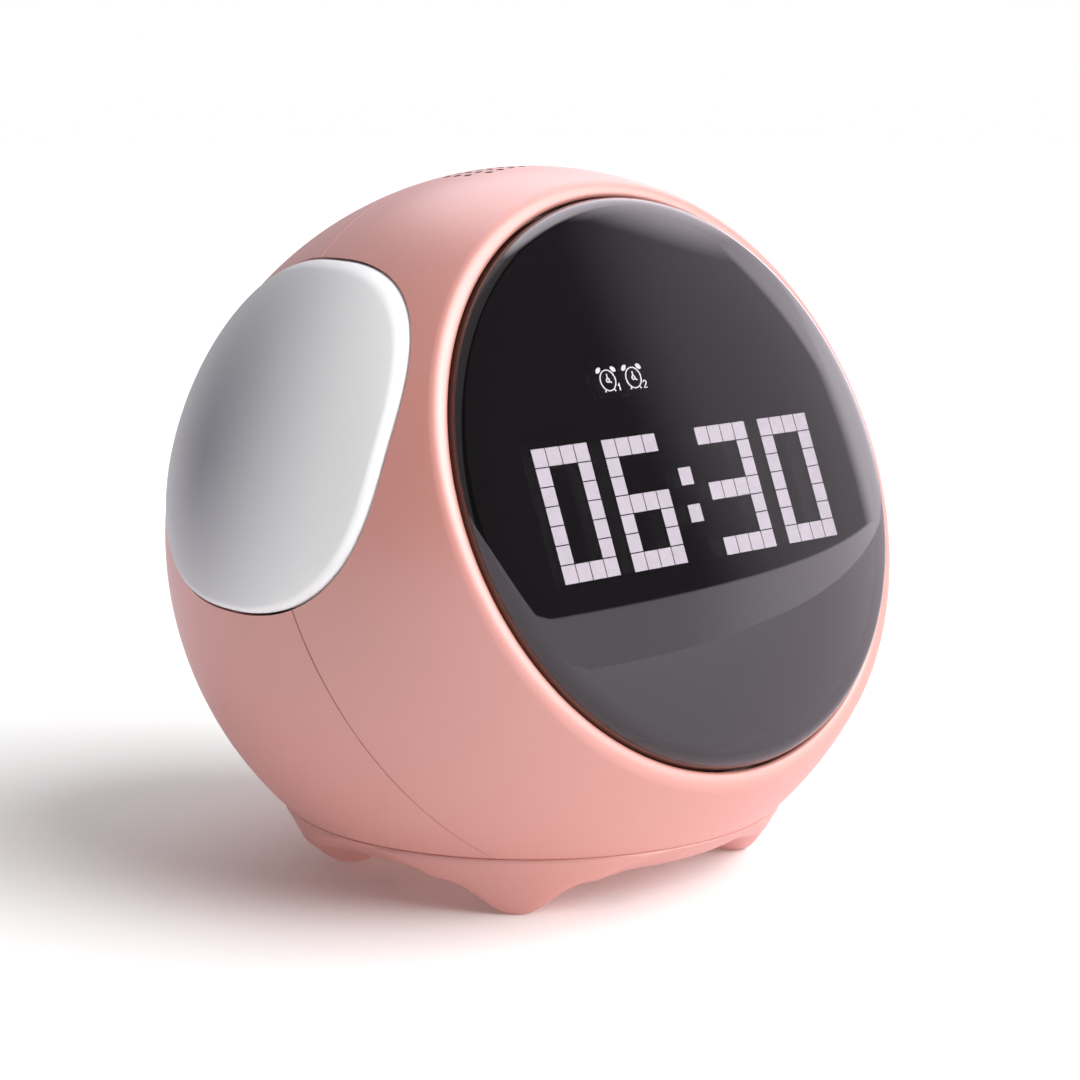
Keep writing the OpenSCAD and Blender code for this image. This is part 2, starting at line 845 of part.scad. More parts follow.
module display_bracket() {
    color(black) on_display() difference() {
        union() {
            translate([0, 0, bracket_h - bracket_t]) cylinder(r = bracket_r, h = bracket_t);
            intersection() {
                for (a = tab_angles) rotate([0, 0, a])
                    translate([bracket_r - tab_w / 2, -tab_w / 2, bracket_h - bracket_t])
                        cube([body_r, tab_w, bracket_t]);
                sphere(r = body_r - wall - tab_clear);
            }
            for (x = [-1, 1], y = [-1, 1]) translate([x * post_x, y * post_y, main_top])
                cylinder(r = post_r, h = post_l + 0.5);
        }
        translate([0, 0, bracket_floor]) cylinder(r = board_r + grid_fit, h = bracket_t + 1);
        translate([0, header_y, main_top]) block([bracket_window[0], bracket_window[1], body_r]);
        for (a = tab_angles) rotate([0, 0, a]) translate([tab_screw_r, 0, bracket_h - bracket_t - 1])
            cylinder(r = screw_r + shank_play, h = bracket_t + 2);
        for (x = [-1, 1], y = [-1, 1]) translate([x * post_x, y * post_y, main_top])
            screw_hole(post_bite);
    }
}

module bracket_screws() {
    color(steel) on_display() for (a = tab_angles) rotate([0, 0, a])
        translate([tab_screw_r, 0, bracket_h - bracket_t]) screw(bracket_t + tab_bite);
}

// ---- Main board ----

module main_board() {
    color(circuit) on_display() difference() {
        translate([0, 0, main_bottom]) block([main_w, main_d, board_t]);
        for (x = [-1, 1], y = [-1, 1]) translate([x * post_x, y * post_y, main_bottom - 1])
            cylinder(r = screw_r + shank_play, h = board_t + 2);
    }
}

module main_chips() {
    color(black) on_display() {
        for (i = [0:len(chip_sizes) - 1])
            translate([chip_places[i][0], chip_places[i][1], main_bottom - chip_sizes[i][2]])
                block(chip_sizes[i]);
        translate([cap_place[0], cap_place[1], main_bottom - cap_l])
            cylinder(r = cap_r, h = cap_l);
    }
}

module board_connectors() {
    color(white) on_display() for (x = plug_x)
        translate([x, plug_y, main_bottom - plug_size[2]]) block(plug_size);
}

module board_screws() {
    color(steel) on_display() for (x = [-1, 1], y = [-1, 1])
        translate([x * post_x, y * post_y, main_bottom]) screw(board_t + post_bite);
}

module display_header() {
    color(black) on_display() translate([0, header_y, main_top])
        block([header_size[0], header_size[1], bracket_floor - main_top]);
}

// Mouth of one plug on the main board, in the ball's frame
function plug_mouth(i, away = 0) =
    display_point([plug_x[i], plug_y, main_bottom - plug_size[2] - away]);

// ---- Battery ----

module on_cell(from, to, r) {
    in_ball() translate([from, cell_y, -cell_drop]) rotate([0, 90, 0]) cylinder(r = r, h = to - from);
}

module battery_cell() {
    color("#3f6fa8") union() {
        on_cell(-cell_l / 2, cell_l / 2 - cell_tip_l, cell_r);
        on_cell(cell_l / 2 - cell_tip_l, cell_l / 2, cell_tip_r);
    }
}

module battery_cradle() {
    color(white) difference() {
        in_ball() translate([0, cell_y, seam_z]) {
            block([2 * cradle_half_x, 2 * cradle_half_y, -cell_drop - seam_z]);
            block([2 * cradle_flange[0], 2 * cradle_flange[1], cradle_flange[2]]);
        }
        on_cell(-body_r, body_r, cell_r + cradle_play);
        in_ball() translate([0, cell_y, seam_z - 1])
            block([2 * cradle_pocket_x, 4 * cradle_half_y, 1 - cell_drop - seam_z - cradle_roof]);
        in_ball() for (p = cradle_points) translate([p[0], p[1], seam_z]) screw_hole(cradle_flange[2]);
    }
}

module battery_strap() {
    color(black) difference() {
        on_cell(-strap_w / 2, strap_w / 2, cell_r + cradle_play + strap_t);
        on_cell(-strap_w, strap_w, cell_r + cradle_play);
        in_ball() translate([0, cell_y, -cell_drop - body_r]) block([body_r, body_r, body_r]);
    }
}

module cradle_screws() {
    color(steel) in_ball() for (p = cradle_points) translate([p[0], p[1], underside_z + sink_depth])
        screw(base_t - sink_depth + cradle_flange[2] - spare_depth);
}

module battery_lead() {
    end_x = -cell_l / 2;
    color("#b03030") in_ball() lead([plug_mouth(0), plug_mouth(0, lead_start),
        [end_x + 2.5, cell_y - cell_r, cell_r - cell_drop], [end_x - 4.5, 0, 5 - cell_drop],
        [end_x - 4.5, cell_y, -cell_drop], [end_x, cell_y, -cell_drop]]);
}

// ---- Loudspeaker ----

module under_grille(z) {
    in_ball() translate([0, grille_y, z]) children();
}

module speaker_frame() {
    color(steel) under_grille(speaker_bottom) difference() {
        cylinder(r = speaker_r, h = speaker_h);
        translate([0, 0, basket_t]) cylinder(r = speaker_r - speaker_rim_w, h = speaker_h);
    }
}

module speaker_cone() {
    dish_r = speaker_r - speaker_rim_w;
    dish_h = speaker_h - basket_t;
    color(black) under_grille(speaker_bottom + basket_t) rotate_extrude() polygon([[0, 0],
        [coil_r, 0], [dish_r, dish_h - cone_t], [dish_r, dish_h], [coil_r, cone_t], [0, 2 * cone_t]]);
}

module speaker_magnet() {
    color(steel) under_grille(speaker_bottom - magnet_h) cylinder(r = magnet_r, h = magnet_h);
}

module speaker_gasket() {
    color(black) under_grille(speaker_top) ring(speaker_r - 0.1, speaker_r - speaker_rim_w, foam_t);
}

module speaker_clamp() {
    color(white) under_grille(speaker_bottom - clamp_t) difference() {
        union() {
            cylinder(r = speaker_r, h = clamp_t);
            linear_extrude(height = clamp_t) stadium(clamp_post_x + clamp_post_r, clamp_post_r);
        }
        translate([0, 0, -1]) cylinder(r = magnet_r + shank_play, h = clamp_t + 2);
        for (x = [-1, 1]) translate([x * clamp_post_x, 0, -1])
            cylinder(r = screw_r + shank_play, h = clamp_t + 2);
    }
}

module speaker_screws() {
    color(steel) under_grille(speaker_bottom - clamp_t) for (x = [-1, 1])
        translate([x * clamp_post_x, 0, 0]) screw(clamp_t + clamp_bite);
}

module speaker_lead() {
    magnet_z = speaker_bottom - magnet_h;
    color("#b03030") in_ball() lead([plug_mouth(2), plug_mouth(2, lead_start), [0, 13, 8],
        [0, grille_y + 5, magnet_z - 14], [0, grille_y, magnet_z - lead_start],
        [0, grille_y, magnet_z]]);
}

// ---- Ears and night light ----

module ear(side) {
    color(milk) on_side(side) difference() {
        union() {
            intersection() {
                along_x(body_r * 0.3, body_r + 5) ear_outline();
                difference() {
                    sphere(r = body_r + ear_proud);
                    sphere(r = ear_in_r);
                }
            }
            intersection() {
                union() {
                    translate([ear_boss_x, ear_y, ear_z]) rotate([0, 90, 0])
                        cylinder(r = ear_boss_r, h = body_r);
                    for (z = [-1, 1])
                        translate([carrier_face - carrier_t, ear_y, ear_z + z * guide_dz])
                            rotate([0, 90, 0]) cylinder(r = guide_r, h = body_r);
                }
                sphere(r = ear_in_r + ear_t / 4);
            }
        }
        for (z = [-1, 1]) translate([carrier_face - carrier_t, ear_y, ear_z + z * guide_dz])
            rotate([0, 90, 0]) screw_hole(guide_screw_l);
    }
}

module guide_screws(side) {
    color(steel) on_side(side) for (z = [-1, 1])
        translate([carrier_face - carrier_t, ear_y, ear_z + z * guide_dz]) rotate([0, 90, 0]) {
            screw(guide_screw_l);
            translate([0, 0, -head_h]) ring(guide_head_r, head_r, head_h);
        }
}

module light_carrier(side) {
    color(white) on_side(side) difference() {
        intersection() {
            along_x(carrier_face - carrier_t, carrier_face) union() {
                ear_outline(-carrier_inset);
                for (p = carrier_points) carrier_arm(p);
            }
            rotate([90 - tilt, 0, 0]) translate([-body_r, -body_r, carrier_cut_h - 2 * body_r])
                cube([2 * body_r, 2 * body_r, 2 * body_r]);
        }
        translate([carrier_face - carrier_t - 1, ear_y, ear_z]) rotate([0, 90, 0])
            for (z = [-1, 1]) translate([z * guide_dz, 0, 0])
                cylinder(r = guide_r + guide_play, h = carrier_t + 2);
        for (p = carrier_points) translate([carrier_face - carrier_t - 1, p[0], p[1]])
            rotate([0, 90, 0]) cylinder(r = screw_r + shank_play, h = carrier_t + 2);
        for (y = [-1, 1]) translate([carrier_face - carrier_t, ear_y + y * light_screw_dy, ear_z])
            rotate([0, 90, 0]) screw_hole(carrier_t);
    }
}

// Arm of a carrier from its middle out to one screw
module carrier_arm(p) {
    d = p - [ear_y, ear_z];
    translate([ear_y, ear_z]) rotate(atan2(d[1], d[0])) {
        translate([0, -carrier_tab_r]) square([norm(d), 2 * carrier_tab_r]);
        translate([norm(d), 0]) circle(r = carrier_tab_r);
    }
}

module light_board(side) {
    color(white) on_side(side) difference() {
        intersection() {
            along_x(carrier_face, light_top) ear_outline(-light_board_inset);
            rotate([90 - tilt, 0, 0]) translate([-body_r, -body_r, carrier_cut_h - 1 - 2 * body_r])
                cube([2 * body_r, 2 * body_r, 2 * body_r]);
        }
        translate([carrier_face - 1, ear_y, ear_z]) rotate([0, 90, 0]) {
            for (z = [-1, 1]) translate([z * guide_dz, 0, 0])
                cylinder(r = guide_r + 4 * guide_play, h = light_board_t + 2);
            for (y = [-1, 1]) translate([0, y * light_screw_dy, 0])
                cylinder(r = screw_r + shank_play, h = light_board_t + 2);
        }
    }
}

module night_leds() {
    color("#f4e8a0") for (side = [-1, 1]) on_side(side) for (p = night_led_places)
        translate([light_top, ear_y + p[0], ear_z + p[1]]) rotate([90, 0, 90]) block(night_led);
}

module ear_switches() {
    color(black) for (side = [-1, 1]) on_side(side)
        translate([light_top, ear_y, ear_z]) rotate([90, 0, 90]) {
            block(ear_switch);
            translate([0, 0, ear_switch[2] - 0.5]) cylinder(r = ear_stem_r, h = ear_stem_h + 0.5);
        }
}

module carrier_screws() {
    color(steel) for (side = [-1, 1]) on_side(side) for (p = carrier_points)
        translate([carrier_face - carrier_t, p[0], p[1]]) rotate([0, 90, 0])
            screw(carrier_t + tab_bite);
}

module light_board_screws() {
    color(steel) for (side = [-1, 1]) on_side(side) for (y = [-1, 1])
        translate([light_top, ear_y + y * light_screw_dy, ear_z]) rotate([0, -90, 0])
            screw(light_board_t + carrier_t - spare_depth);
}

module light_leads() {
    color("#404040") in_ball() for (side = [-1, 1]) {
        i = side < 0 ? 1 : 4;
        from = [side * (carrier_face - carrier_t), ear_y + light_tap[0], ear_z + light_tap[1]];
        lead([plug_mouth(i), plug_mouth(i, lead_start), from - [side * 5, 2, 15],
            from - [side * 5, 0, 0], from]);
    }
}

// ---- Rear panel ----

module rear_panel() {
    color(skin) at_back(panel_angle) difference() {
        union() {
            translate([0, 0, panel_back]) linear_extrude(height = panel_t) stadium(panel_half, panel_r);
            for (x = [-1, 1]) translate([x * panel_post_x, 0, button_board_top])
                cylinder(r = panel_post_r, h = panel_back - button_board_top + 0.5);
        }
        for (i = [-1:1]) translate([i * button_pitch, 0, panel_back - 1])
            cylinder(r = button_r + button_play, h = panel_t + 2);
        for (x = [-1, 1]) translate([x * panel_post_x, 0, button_board_top])
            screw_hole(post_bite);
    }
}

module rear_button(i) {
    at_back(panel_angle) translate([i * button_pitch, 0, panel_back]) {
        cylinder(r = button_r, h = panel_t + button_proud);
        translate([0, 0, -flange_t]) cylinder(r = button_r + flange_w, h = flange_t);
    }
}

module minus_button() {
    color(white) rear_button(-1);
}

module mode_button() {
    color(white) rear_button(0);
}

module plus_button() {
    color(white) rear_button(1);
}

module button_board() {
    color(circuit) at_back(panel_angle) translate([0, 0, button_board_top - board_t]) difference() {
        linear_extrude(height = board_t) stadium(panel_post_x + button_board_end, button_board_r);
        for (x = [-1, 1]) translate([x * panel_post_x, 0, -1])
            cylinder(r = screw_r + shank_play, h = board_t + 2);
    }
}

module button_switches() {
    color(black) at_back(panel_angle) for (i = [-1:1])
        translate([i * button_pitch, 0, button_board_top]) {
            block(button_switch);
            translate([0, 0, button_switch[2] - 0.5])
                cylinder(r = button_stem_r, h = button_stem_h + 0.5);
        }
}

module button_screws() {
    color(steel) at_back(panel_angle) for (x = [-1, 1])
        translate([x * panel_post_x, 0, button_board_top - board_t]) screw(board_t + post_bite);
}

module button_lead() {
    back = button_board_top - board_t;
    color("#404040") in_ball() lead([plug_mouth(3), plug_mouth(3, lead_start), [8, 16, -2],
        at_back_point([button_tap, 0, back - lead_start], panel_angle),
        at_back_point([button_tap, 0, back], panel_angle)]);
}

// A point of a rear frame in the ball's frame
function at_back_point(p, e) =
    [p[0], sin(e) * p[1] + cos(e) * p[2], sin(e) * p[2] - cos(e) * p[1]];

// ---- Charging socket ----

module usb_socket() {
    color(steel) at_back(port_angle) {
        translate([0, 0, port_mouth - port_l]) difference() {
            linear_extrude(height = port_l) stadium(port_half, port_r);
            translate([0, 0, port_back]) linear_extrude(height = port_l)
                stadium(port_half - port_wall, port_r - port_wall);
        }
        translate([0, 0, port_mouth - port_l + port_back - 0.1]) block(port_tongue);
    }
}

module charge_board() {
    color(circuit) at_back(port_angle) difference() {
        translate([0, port_r + charge_t / 2, charge_near]) block([charge_w, charge_t, charge_l]);
        for (x = [-1, 1]) translate([x * charge_screw_x, port_r - 1, charge_screw_z]) rotate([-90, 0, 0])
            cylinder(r = screw_r + shank_play, h = charge_t + 2);
    }
}

module charge_screws() {
    color(steel) at_back(port_angle) for (x = [-1, 1])
        translate([x * charge_screw_x, port_r, charge_screw_z]) rotate([-90, 0, 0])
            screw(charge_t + rail_bite);
}

module charge_lead() {
    out = [charge_out[0], port_r, charge_near + charge_out[1]];
    color("#b03030") in_ball() lead([at_back_point(out, port_angle),
        at_back_point(out - [0, lead_start, 0], port_angle), [-12, 20, 2],
        display_point([charge_tap[0], charge_tap[1], main_bottom - lead_start]),
        display_point([charge_tap[0], charge_tap[1], main_bottom])]);
}

front_shell();
rear_shell();
base_plate();
lens_dome();
lens_gasket();
display_mask();
pixel_grid();
digit_film();
icon_guide();
icon_film();
led_board();
digit_leds();
icon_leds();
display_bracket();
bracket_screws();
main_board();
main_chips();
board_connectors();
board_screws();
display_header();
battery_cell();
battery_cradle();
battery_strap();
cradle_screws();
battery_lead();
speaker_frame();
speaker_cone();
speaker_magnet();
speaker_gasket();
speaker_clamp();
speaker_screws();
speaker_lead();
ear(-1);  // left_ear
ear(1);  // right_ear
guide_screws(-1);  // left_guide_screws
guide_screws(1);  // right_guide_screws
light_carrier(-1);  // left_light_carrier
light_carrier(1);  // right_light_carrier
light_board(-1);  // left_light_board
light_board(1);  // right_light_board
night_leds();
ear_switches();
carrier_screws();
light_board_screws();
light_leads();
rear_panel();
mode_button();
plus_button();
minus_button();
button_board();
button_switches();
button_screws();
button_lead();
usb_socket();
charge_board();
charge_screws();
charge_lead();
base_screws();
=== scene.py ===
"""Looks of a kids' alarm clock with night light: a pink ball on four feet with a smoked domed
display and a milky night-light ear on each side."""

import json
import math

import bmesh
import bpy
from mathutils import Matrix, Vector


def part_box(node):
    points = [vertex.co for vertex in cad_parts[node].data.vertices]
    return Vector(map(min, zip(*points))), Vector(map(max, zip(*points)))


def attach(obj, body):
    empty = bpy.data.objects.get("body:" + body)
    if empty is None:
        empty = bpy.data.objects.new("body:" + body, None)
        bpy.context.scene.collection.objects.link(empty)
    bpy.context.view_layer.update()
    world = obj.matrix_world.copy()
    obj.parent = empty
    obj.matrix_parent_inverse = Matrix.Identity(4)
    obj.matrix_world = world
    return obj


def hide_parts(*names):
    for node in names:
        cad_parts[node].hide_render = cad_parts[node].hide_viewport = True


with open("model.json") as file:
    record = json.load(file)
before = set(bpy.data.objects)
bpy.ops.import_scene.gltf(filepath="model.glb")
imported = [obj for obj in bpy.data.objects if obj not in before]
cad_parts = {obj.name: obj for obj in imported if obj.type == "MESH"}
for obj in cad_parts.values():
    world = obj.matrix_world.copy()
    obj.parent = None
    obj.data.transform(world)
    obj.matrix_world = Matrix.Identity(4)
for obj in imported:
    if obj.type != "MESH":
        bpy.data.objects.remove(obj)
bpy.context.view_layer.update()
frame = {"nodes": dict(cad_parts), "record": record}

# ---- Sizes in millimetres and places from the frame ----

MM = 0.001

# Ball, its joints, and how far a cutter reaches past what it cuts.
BALL_R = 50.0
WALL = 2.2
TILT = math.radians(21)
PARTING = 6.4
SEAM_ROUND = 0.18
SEAM_HALF = 0.03
PAST = 5.0
SPIN_STEPS = 288

# Base plate and its feet.
BASE_FLAT_R = 30.0
BASE_T = 3.7
FOOT_X = 21.0
FOOT_YS = (-18.6, 14.3)
FOOT_H = 5.0
FOOT_TIP_R = 1.5
FOOT_SPREAD_R = 10.6
FOOT_FLANK_R = 30.5
FOOT_SKEW = 0.85

# Screws that come up through the base plate.
SCREW_R = 0.9
HEAD_R = 1.8
HEAD_H = 1.5
SINK_DEPTH = 1.7
SINK_PLAY = 0.2
SCREW_PLAY = 0.1
BASE_SCREWS = [(-10, -25.5), (10, -25.5), (-14, 24), (14, 24)]
CRADLE_SCREWS = [(-24.5, 4), (24.5, 4)]

# Lens, its seat and the rim around it.
LENS_R = 38.2
LENS_T = 1.8
LENS_GAP = 0.3
LENS_SINK = 0.2
CROWN_R = 95.0
SHOULDER_R = 3.0
SEAT_DEPTH = 4.7
SEAT_T = 1.6
SEAT_W = 3.0
GASKET_T = 0.5
RIM_ROUND = 2.5
RIM_FLAT = 0.2
LIP_ROUND = 0.6
# Width of the lens's outer edge that carries the painted reflection of the pink rim.
PAINTED_EDGE_W = 0.05

# Lit cells and alarm symbols.
GRID_COLS = 21
GRID_ROWS = 7
CELL_PITCH = 2.48
CELL_LINE = 0.2
FACE_RISE = 5.5
GRID_DROP = 2.45
FILM_T = 0.3
ICON_RISE = 13.7
ICON_X = -10.3
ICON_PITCH = 4.7

# Ears, as (y, z) from the ball's centre.
EAR_HALF = (22.5, 21.5)
EAR_MID = (4.0, 17.2)
EAR_POWER = 2.5
EAR_POINTS = 168
EAR_PROUD = 0.8
EAR_T = 2.4
EAR_GAP = 0.3
EAR_ROUND = 1.1
EAR_CUT_X = 30.0

# Sound holes on top.
HOLE_D = 1.1
HOLE_L = 16.0
HOLE_SIDES = 20
HOLE_PITCH = 2.0
FIELD = (10.5, 5.5)
FIELD_EDGE = 0.9
GRILLE_Y = 4.0

# Rear panel with its keys, and the charging socket below it.
PANEL_ANGLE = math.radians(14)
PANEL_HALF = 18.0
PANEL_R = 6.5
PANEL_T = 2.0
PANEL_SINK = 0.85
PANEL_PLAY = 0.15
BUTTON_R = 3.0
BUTTON_PITCH = 9.2
BUTTON_PROUD = 1.6
BUTTON_PLAY = 0.25
PORT_ANGLE = math.radians(-18)
PORT_HALF = 4.45
PORT_R = 1.6
PORT_PLAY = 0.2
PORT_DEPTH = 0.8
PORT_CUT_LOW = 40.0

shell_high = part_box("rear_shell")[1] / MM
CENTRE = Vector((0, shell_high.y - BALL_R, FOOT_H + math.sqrt(BALL_R**2 - BASE_FLAT_R**2)))
SEAM_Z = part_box("base_plate")[1].z / MM - CENTRE.z
SEAM_R = math.sqrt(BALL_R**2 - SEAM_Z**2)

# Radii and heights along the axis of the display.
OPENING_R = LENS_R + LENS_GAP
CREST_R = OPENING_R + LIP_ROUND + RIM_FLAT
RIM_H = math.sqrt((BALL_R - RIM_ROUND) ** 2 - CREST_R**2) + RIM_ROUND
SEAT_H = RIM_H - SEAT_DEPTH
SEAT_R = OPENING_R - SEAT_W
FACE_H = SEAT_H + FACE_RISE
SIDE_H = RIM_H - LENS_SINK
CROWN_Z = SIDE_H - math.sqrt((CROWN_R - SHOULDER_R) ** 2 - (LENS_R - SHOULDER_R) ** 2)
PANEL_FACE = math.sqrt(BALL_R**2 - PANEL_HALF**2) - PANEL_SINK
PANEL_BACK = PANEL_FACE - PANEL_T

IN_BALL = Matrix.Translation(CENTRE)
ON_DISPLAY = IN_BALL @ Matrix.Rotation(math.pi / 2 - TILT, 4, "X")


def at_back(elevation):
    """Z outwards at the back of the ball at an elevation, Y downwards."""
    return IN_BALL @ Matrix.Rotation(elevation - math.pi / 2, 4, "X")


# ---- Camera ----

CAMERA_AZIMUTH = math.radians(44.61)
CAMERA_ELEVATION = math.radians(9.83)
CAMERA_LENS = 91.28
CAMERA_SENSOR = 36
CAMERA_REACH = (0.01, 50)
CAMERA_OFFSET = Vector((1.03, -0.97, 376.08))


def camera_axes():
    """The camera's right, up and backward directions as the columns of a matrix."""
    a, e = CAMERA_AZIMUTH, CAMERA_ELEVATION
    right = Vector((math.cos(a), -math.sin(a), 0))
    back = Vector((-math.sin(a) * math.cos(e), -math.cos(a) * math.cos(e), math.sin(e)))
    return Matrix((right, back.cross(right), back)).transposed()


def make_camera():
    data = bpy.data.cameras.new("camera")
    data.lens = CAMERA_LENS
    data.sensor_width = CAMERA_SENSOR
    data.clip_start, data.clip_end = CAMERA_REACH
    camera = bpy.data.objects.new("camera", data)
    place = (CENTRE + camera_axes() @ CAMERA_OFFSET) * MM
    camera.matrix_world = Matrix.Translation(place) @ camera_axes().to_4x4()
    bpy.context.scene.collection.objects.link(camera)
    bpy.context.scene.camera = camera


# ---- Materials ----


def srgb(code):
    """Linear colour with alpha from an sRGB hex value."""
    values = [int(code[i:i + 2], 16) / 255 for i in (1, 3, 5)]
    return [c / 12.92 if c <= 0.04045 else ((c + 0.055) / 1.055) ** 2.4 for c in values] + [1.0]


def add_node(tree, kind, settings=None, inputs=None, links=None, output=0):
    """One node with its settings, the values of its inputs and the sources linked to them."""
    node = tree.nodes.new(kind)
    for name, value in (settings or {}).items():
        setattr(node, name, value)
    for name, value in (inputs or {}).items():
        node.inputs[name].default_value = value
    for name, source in (links or {}).items():
        tree.links.new(source, node.inputs[name])
    return node.outputs[output]


def new_material(name, inputs):
    """A material with its Principled shader's inputs, its node tree and its shader."""
    material = bpy.data.materials.new(name)
    material.use_nodes = True
    shader = material.node_tree.nodes["Principled BSDF"]
    for socket, value in inputs.items():
        shader.inputs[socket].default_value = value
    return material, material.node_tree, shader


def per_mm(length):
    """Scale of a noise whose grains are a length in millimetres apart."""
    return 1 / (length * MM)


def object_place(tree):
    return add_node(tree, "ShaderNodeTexCoord", output="Object")


DRIFT_MM = 25
COLOUR_DRIFT = 0.03
GLOSS_DRIFT = 0.05
PLATING_DRIFT = 0.08
PLATING_CLOUD_MM = 0.8
MOTTLE_MM = 3
MOTTLE = 0.1
COPPER_MM = 6


def grained(name, colour, roughness, grain, depth, inputs=None):
    """A finish with a fine grain in its gloss and relief and a slow drift of its colour."""
    material, tree, shader = new_material(name, inputs or {})
    where = object_place(tree)
    fine = add_node(tree, "ShaderNodeTexNoise", inputs={"Scale": per_mm(grain), "Detail": 2.0},
                    links={"Vector": where})
    broad = add_node(tree, "ShaderNodeTexNoise", inputs={"Scale": per_mm(DRIFT_MM), "Detail": 1.0},
                     links={"Vector": where})
    shade = add_node(tree, "ShaderNodeMapRange",
                     inputs={"To Min": 1 - COLOUR_DRIFT, "To Max": 1 + COLOUR_DRIFT},
                     links={"Value": broad})
    tint = add_node(tree, "ShaderNodeVectorMath", {"operation": "SCALE"},
                    {0: srgb(colour)[:3]}, {"Scale": shade})
    gloss = add_node(tree, "ShaderNodeMapRange",
                     inputs={"To Min": roughness - GLOSS_DRIFT, "To Max": roughness + GLOSS_DRIFT},
                     links={"Value": fine})
    relief = add_node(tree, "ShaderNodeBump", inputs={"Strength": 0.4, "Distance": depth * MM},
                      links={"Height": fine})
    tree.links.new(tint, shader.inputs["Base Color"])
    tree.links.new(gloss, shader.inputs["Roughness"])
    tree.links.new(relief, shader.inputs["Normal"])
    return material


def smoked_polycarbonate():
    """Hard-coated, polished and smoked through: a black mirror that lit cells shine through."""
    return new_material("polished_smoked_polycarbonate", {
        "Base Color": srgb("#545054"), "Roughness": 0.02, "IOR": 1.05,
        "Transmission Weight": 1.0, "Coat Weight": 1.0, "Coat IOR": 1.8,
        "Coat Roughness": 0.02})[0]


def painted_rim_reflection():
    """Edge of the lens: a brown painted reflection of the pink rim, under the gloss."""
    return new_material("polished_lens_edge_painted_rim_reflection", {
        "Base Color": srgb("#6E4A41"), "Roughness": 0.3, "IOR": 1.1, "Coat Weight": 1.0,
        "Coat IOR": 1.3, "Coat Roughness": 0.05})[0]


# Painted light and shade on the ears: a tone from a shaded grey at the back to a lit pale colour at
# the front.
EAR_PAINTED_SHADE = "#918F9A"
EAR_PAINTED_LIGHT = "#ECECEE"
EAR_SHADE_MID = Vector((0, 11.5, 14.5))
EAR_SHADE_HALF = (25.0, 44.0)
EAR_SHADE_FADE = (-0.2, 1.0)
EAR_GRAIN = 0.4
EAR_RELIEF = 0.01


def milky_silicone():
    """Moulded milky silicone: soft light from within, with painted shade that darkens it towards
    the back and painted light that pales it towards the front.
    """
    material, tree, shader = new_material("moulded_milky_silicone", {
        "Subsurface Weight": 0.35, "Subsurface Scale": 0.004, "Subsurface Radius": (1, 1, 1),
        "Roughness": 0.5, "IOR": 1.43, "Specular IOR Level": 0.3})
    scale = Vector((0, 1 / EAR_SHADE_HALF[0], 1 / EAR_SHADE_HALF[1])) / MM
    mid = (CENTRE + EAR_SHADE_MID) * MM
    spread = add_node(tree, "ShaderNodeMapping",
                      inputs={"Location": -mid * scale, "Scale": scale},
                      links={"Vector": object_place(tree)})
    length = add_node(tree, "ShaderNodeVectorMath", {"operation": "LENGTH"}, links={0: spread},
                      output="Value")
    shade_fade = add_node(tree, "ShaderNodeMapRange", {"interpolation_type": "SMOOTHSTEP"},
                    {"From Min": EAR_SHADE_FADE[0], "From Max": EAR_SHADE_FADE[1]}, {"Value": length})
    colour = add_node(tree, "ShaderNodeMix", {"data_type": "RGBA"},
                      {"A": srgb(EAR_PAINTED_SHADE), "B": srgb(EAR_PAINTED_LIGHT)}, {"Factor": shade_fade}, "Result")
    tree.links.new(colour, shader.inputs["Base Color"])
    grain = add_node(tree, "ShaderNodeTexNoise", inputs={"Scale": per_mm(EAR_GRAIN), "Detail": 2.0},
                     links={"Vector": object_place(tree)})
    relief = add_node(tree, "ShaderNodeBump",
                      inputs={"Strength": 0.3, "Distance": EAR_RELIEF * MM},
                      links={"Height": grain})
    tree.links.new(relief, shader.inputs["Normal"])
    return material


def lit_film(name, glow, strength):
    """Frosted film over a lamp: an even glow, with the faint mottle of the diffusing grains."""
    material, tree, shader = new_material(name, {"Base Color": srgb("#C8C0CA"), "Roughness": 0.6,
                                                 "Emission Color": srgb(glow)})
    mottle = add_node(tree, "ShaderNodeTexNoise",
                      inputs={"Scale": per_mm(MOTTLE_MM), "Detail": 2.0},
                      links={"Vector": object_place(tree)})
    level = add_node(tree, "ShaderNodeMapRange",
                     inputs={"To Min": (1 - MOTTLE) * strength,
                             "To Max": (1 + MOTTLE) * strength},
                     links={"Value": mottle})
    tree.links.new(level, shader.inputs["Emission Strength"])
    return material


def plated(name, colour, roughness):
    """Plated metal: bright, with a slow cloudiness in its gloss."""
    material, tree, shader = new_material(name, {"Metallic": 1.0, "Base Color": srgb(colour)})
    cloud = add_node(tree, "ShaderNodeTexNoise",
                     inputs={"Scale": per_mm(PLATING_CLOUD_MM), "Detail": 3.0},
                     links={"Vector": object_place(tree)})
    gloss = add_node(tree, "ShaderNodeMapRange",
                     inputs={"To Min": roughness - PLATING_DRIFT,
                             "To Max": roughness + PLATING_DRIFT},
                     links={"Value": cloud})
    tree.links.new(gloss, shader.inputs["Roughness"])
    return material


def solder_mask(name, colour, copper):
    """Lacquered board: glossy mask that shows the copper under it as paler lines."""
    material, tree, shader = new_material(name, {"Roughness": 0.3})
    lines = add_node(tree, "ShaderNodeTexBrick",
                     {"offset": 0.37, "squash": 1.6},
                     {"Scale": per_mm(COPPER_MM), "Mortar Size": 0.03, "Color1": srgb(colour),
                      "Color2": srgb(colour), "Mortar": srgb(copper)},
                     {"Vector": object_place(tree)})
    tree.links.new(lines, shader.inputs["Base Color"])
    return material


# ---- Mesh tools ----


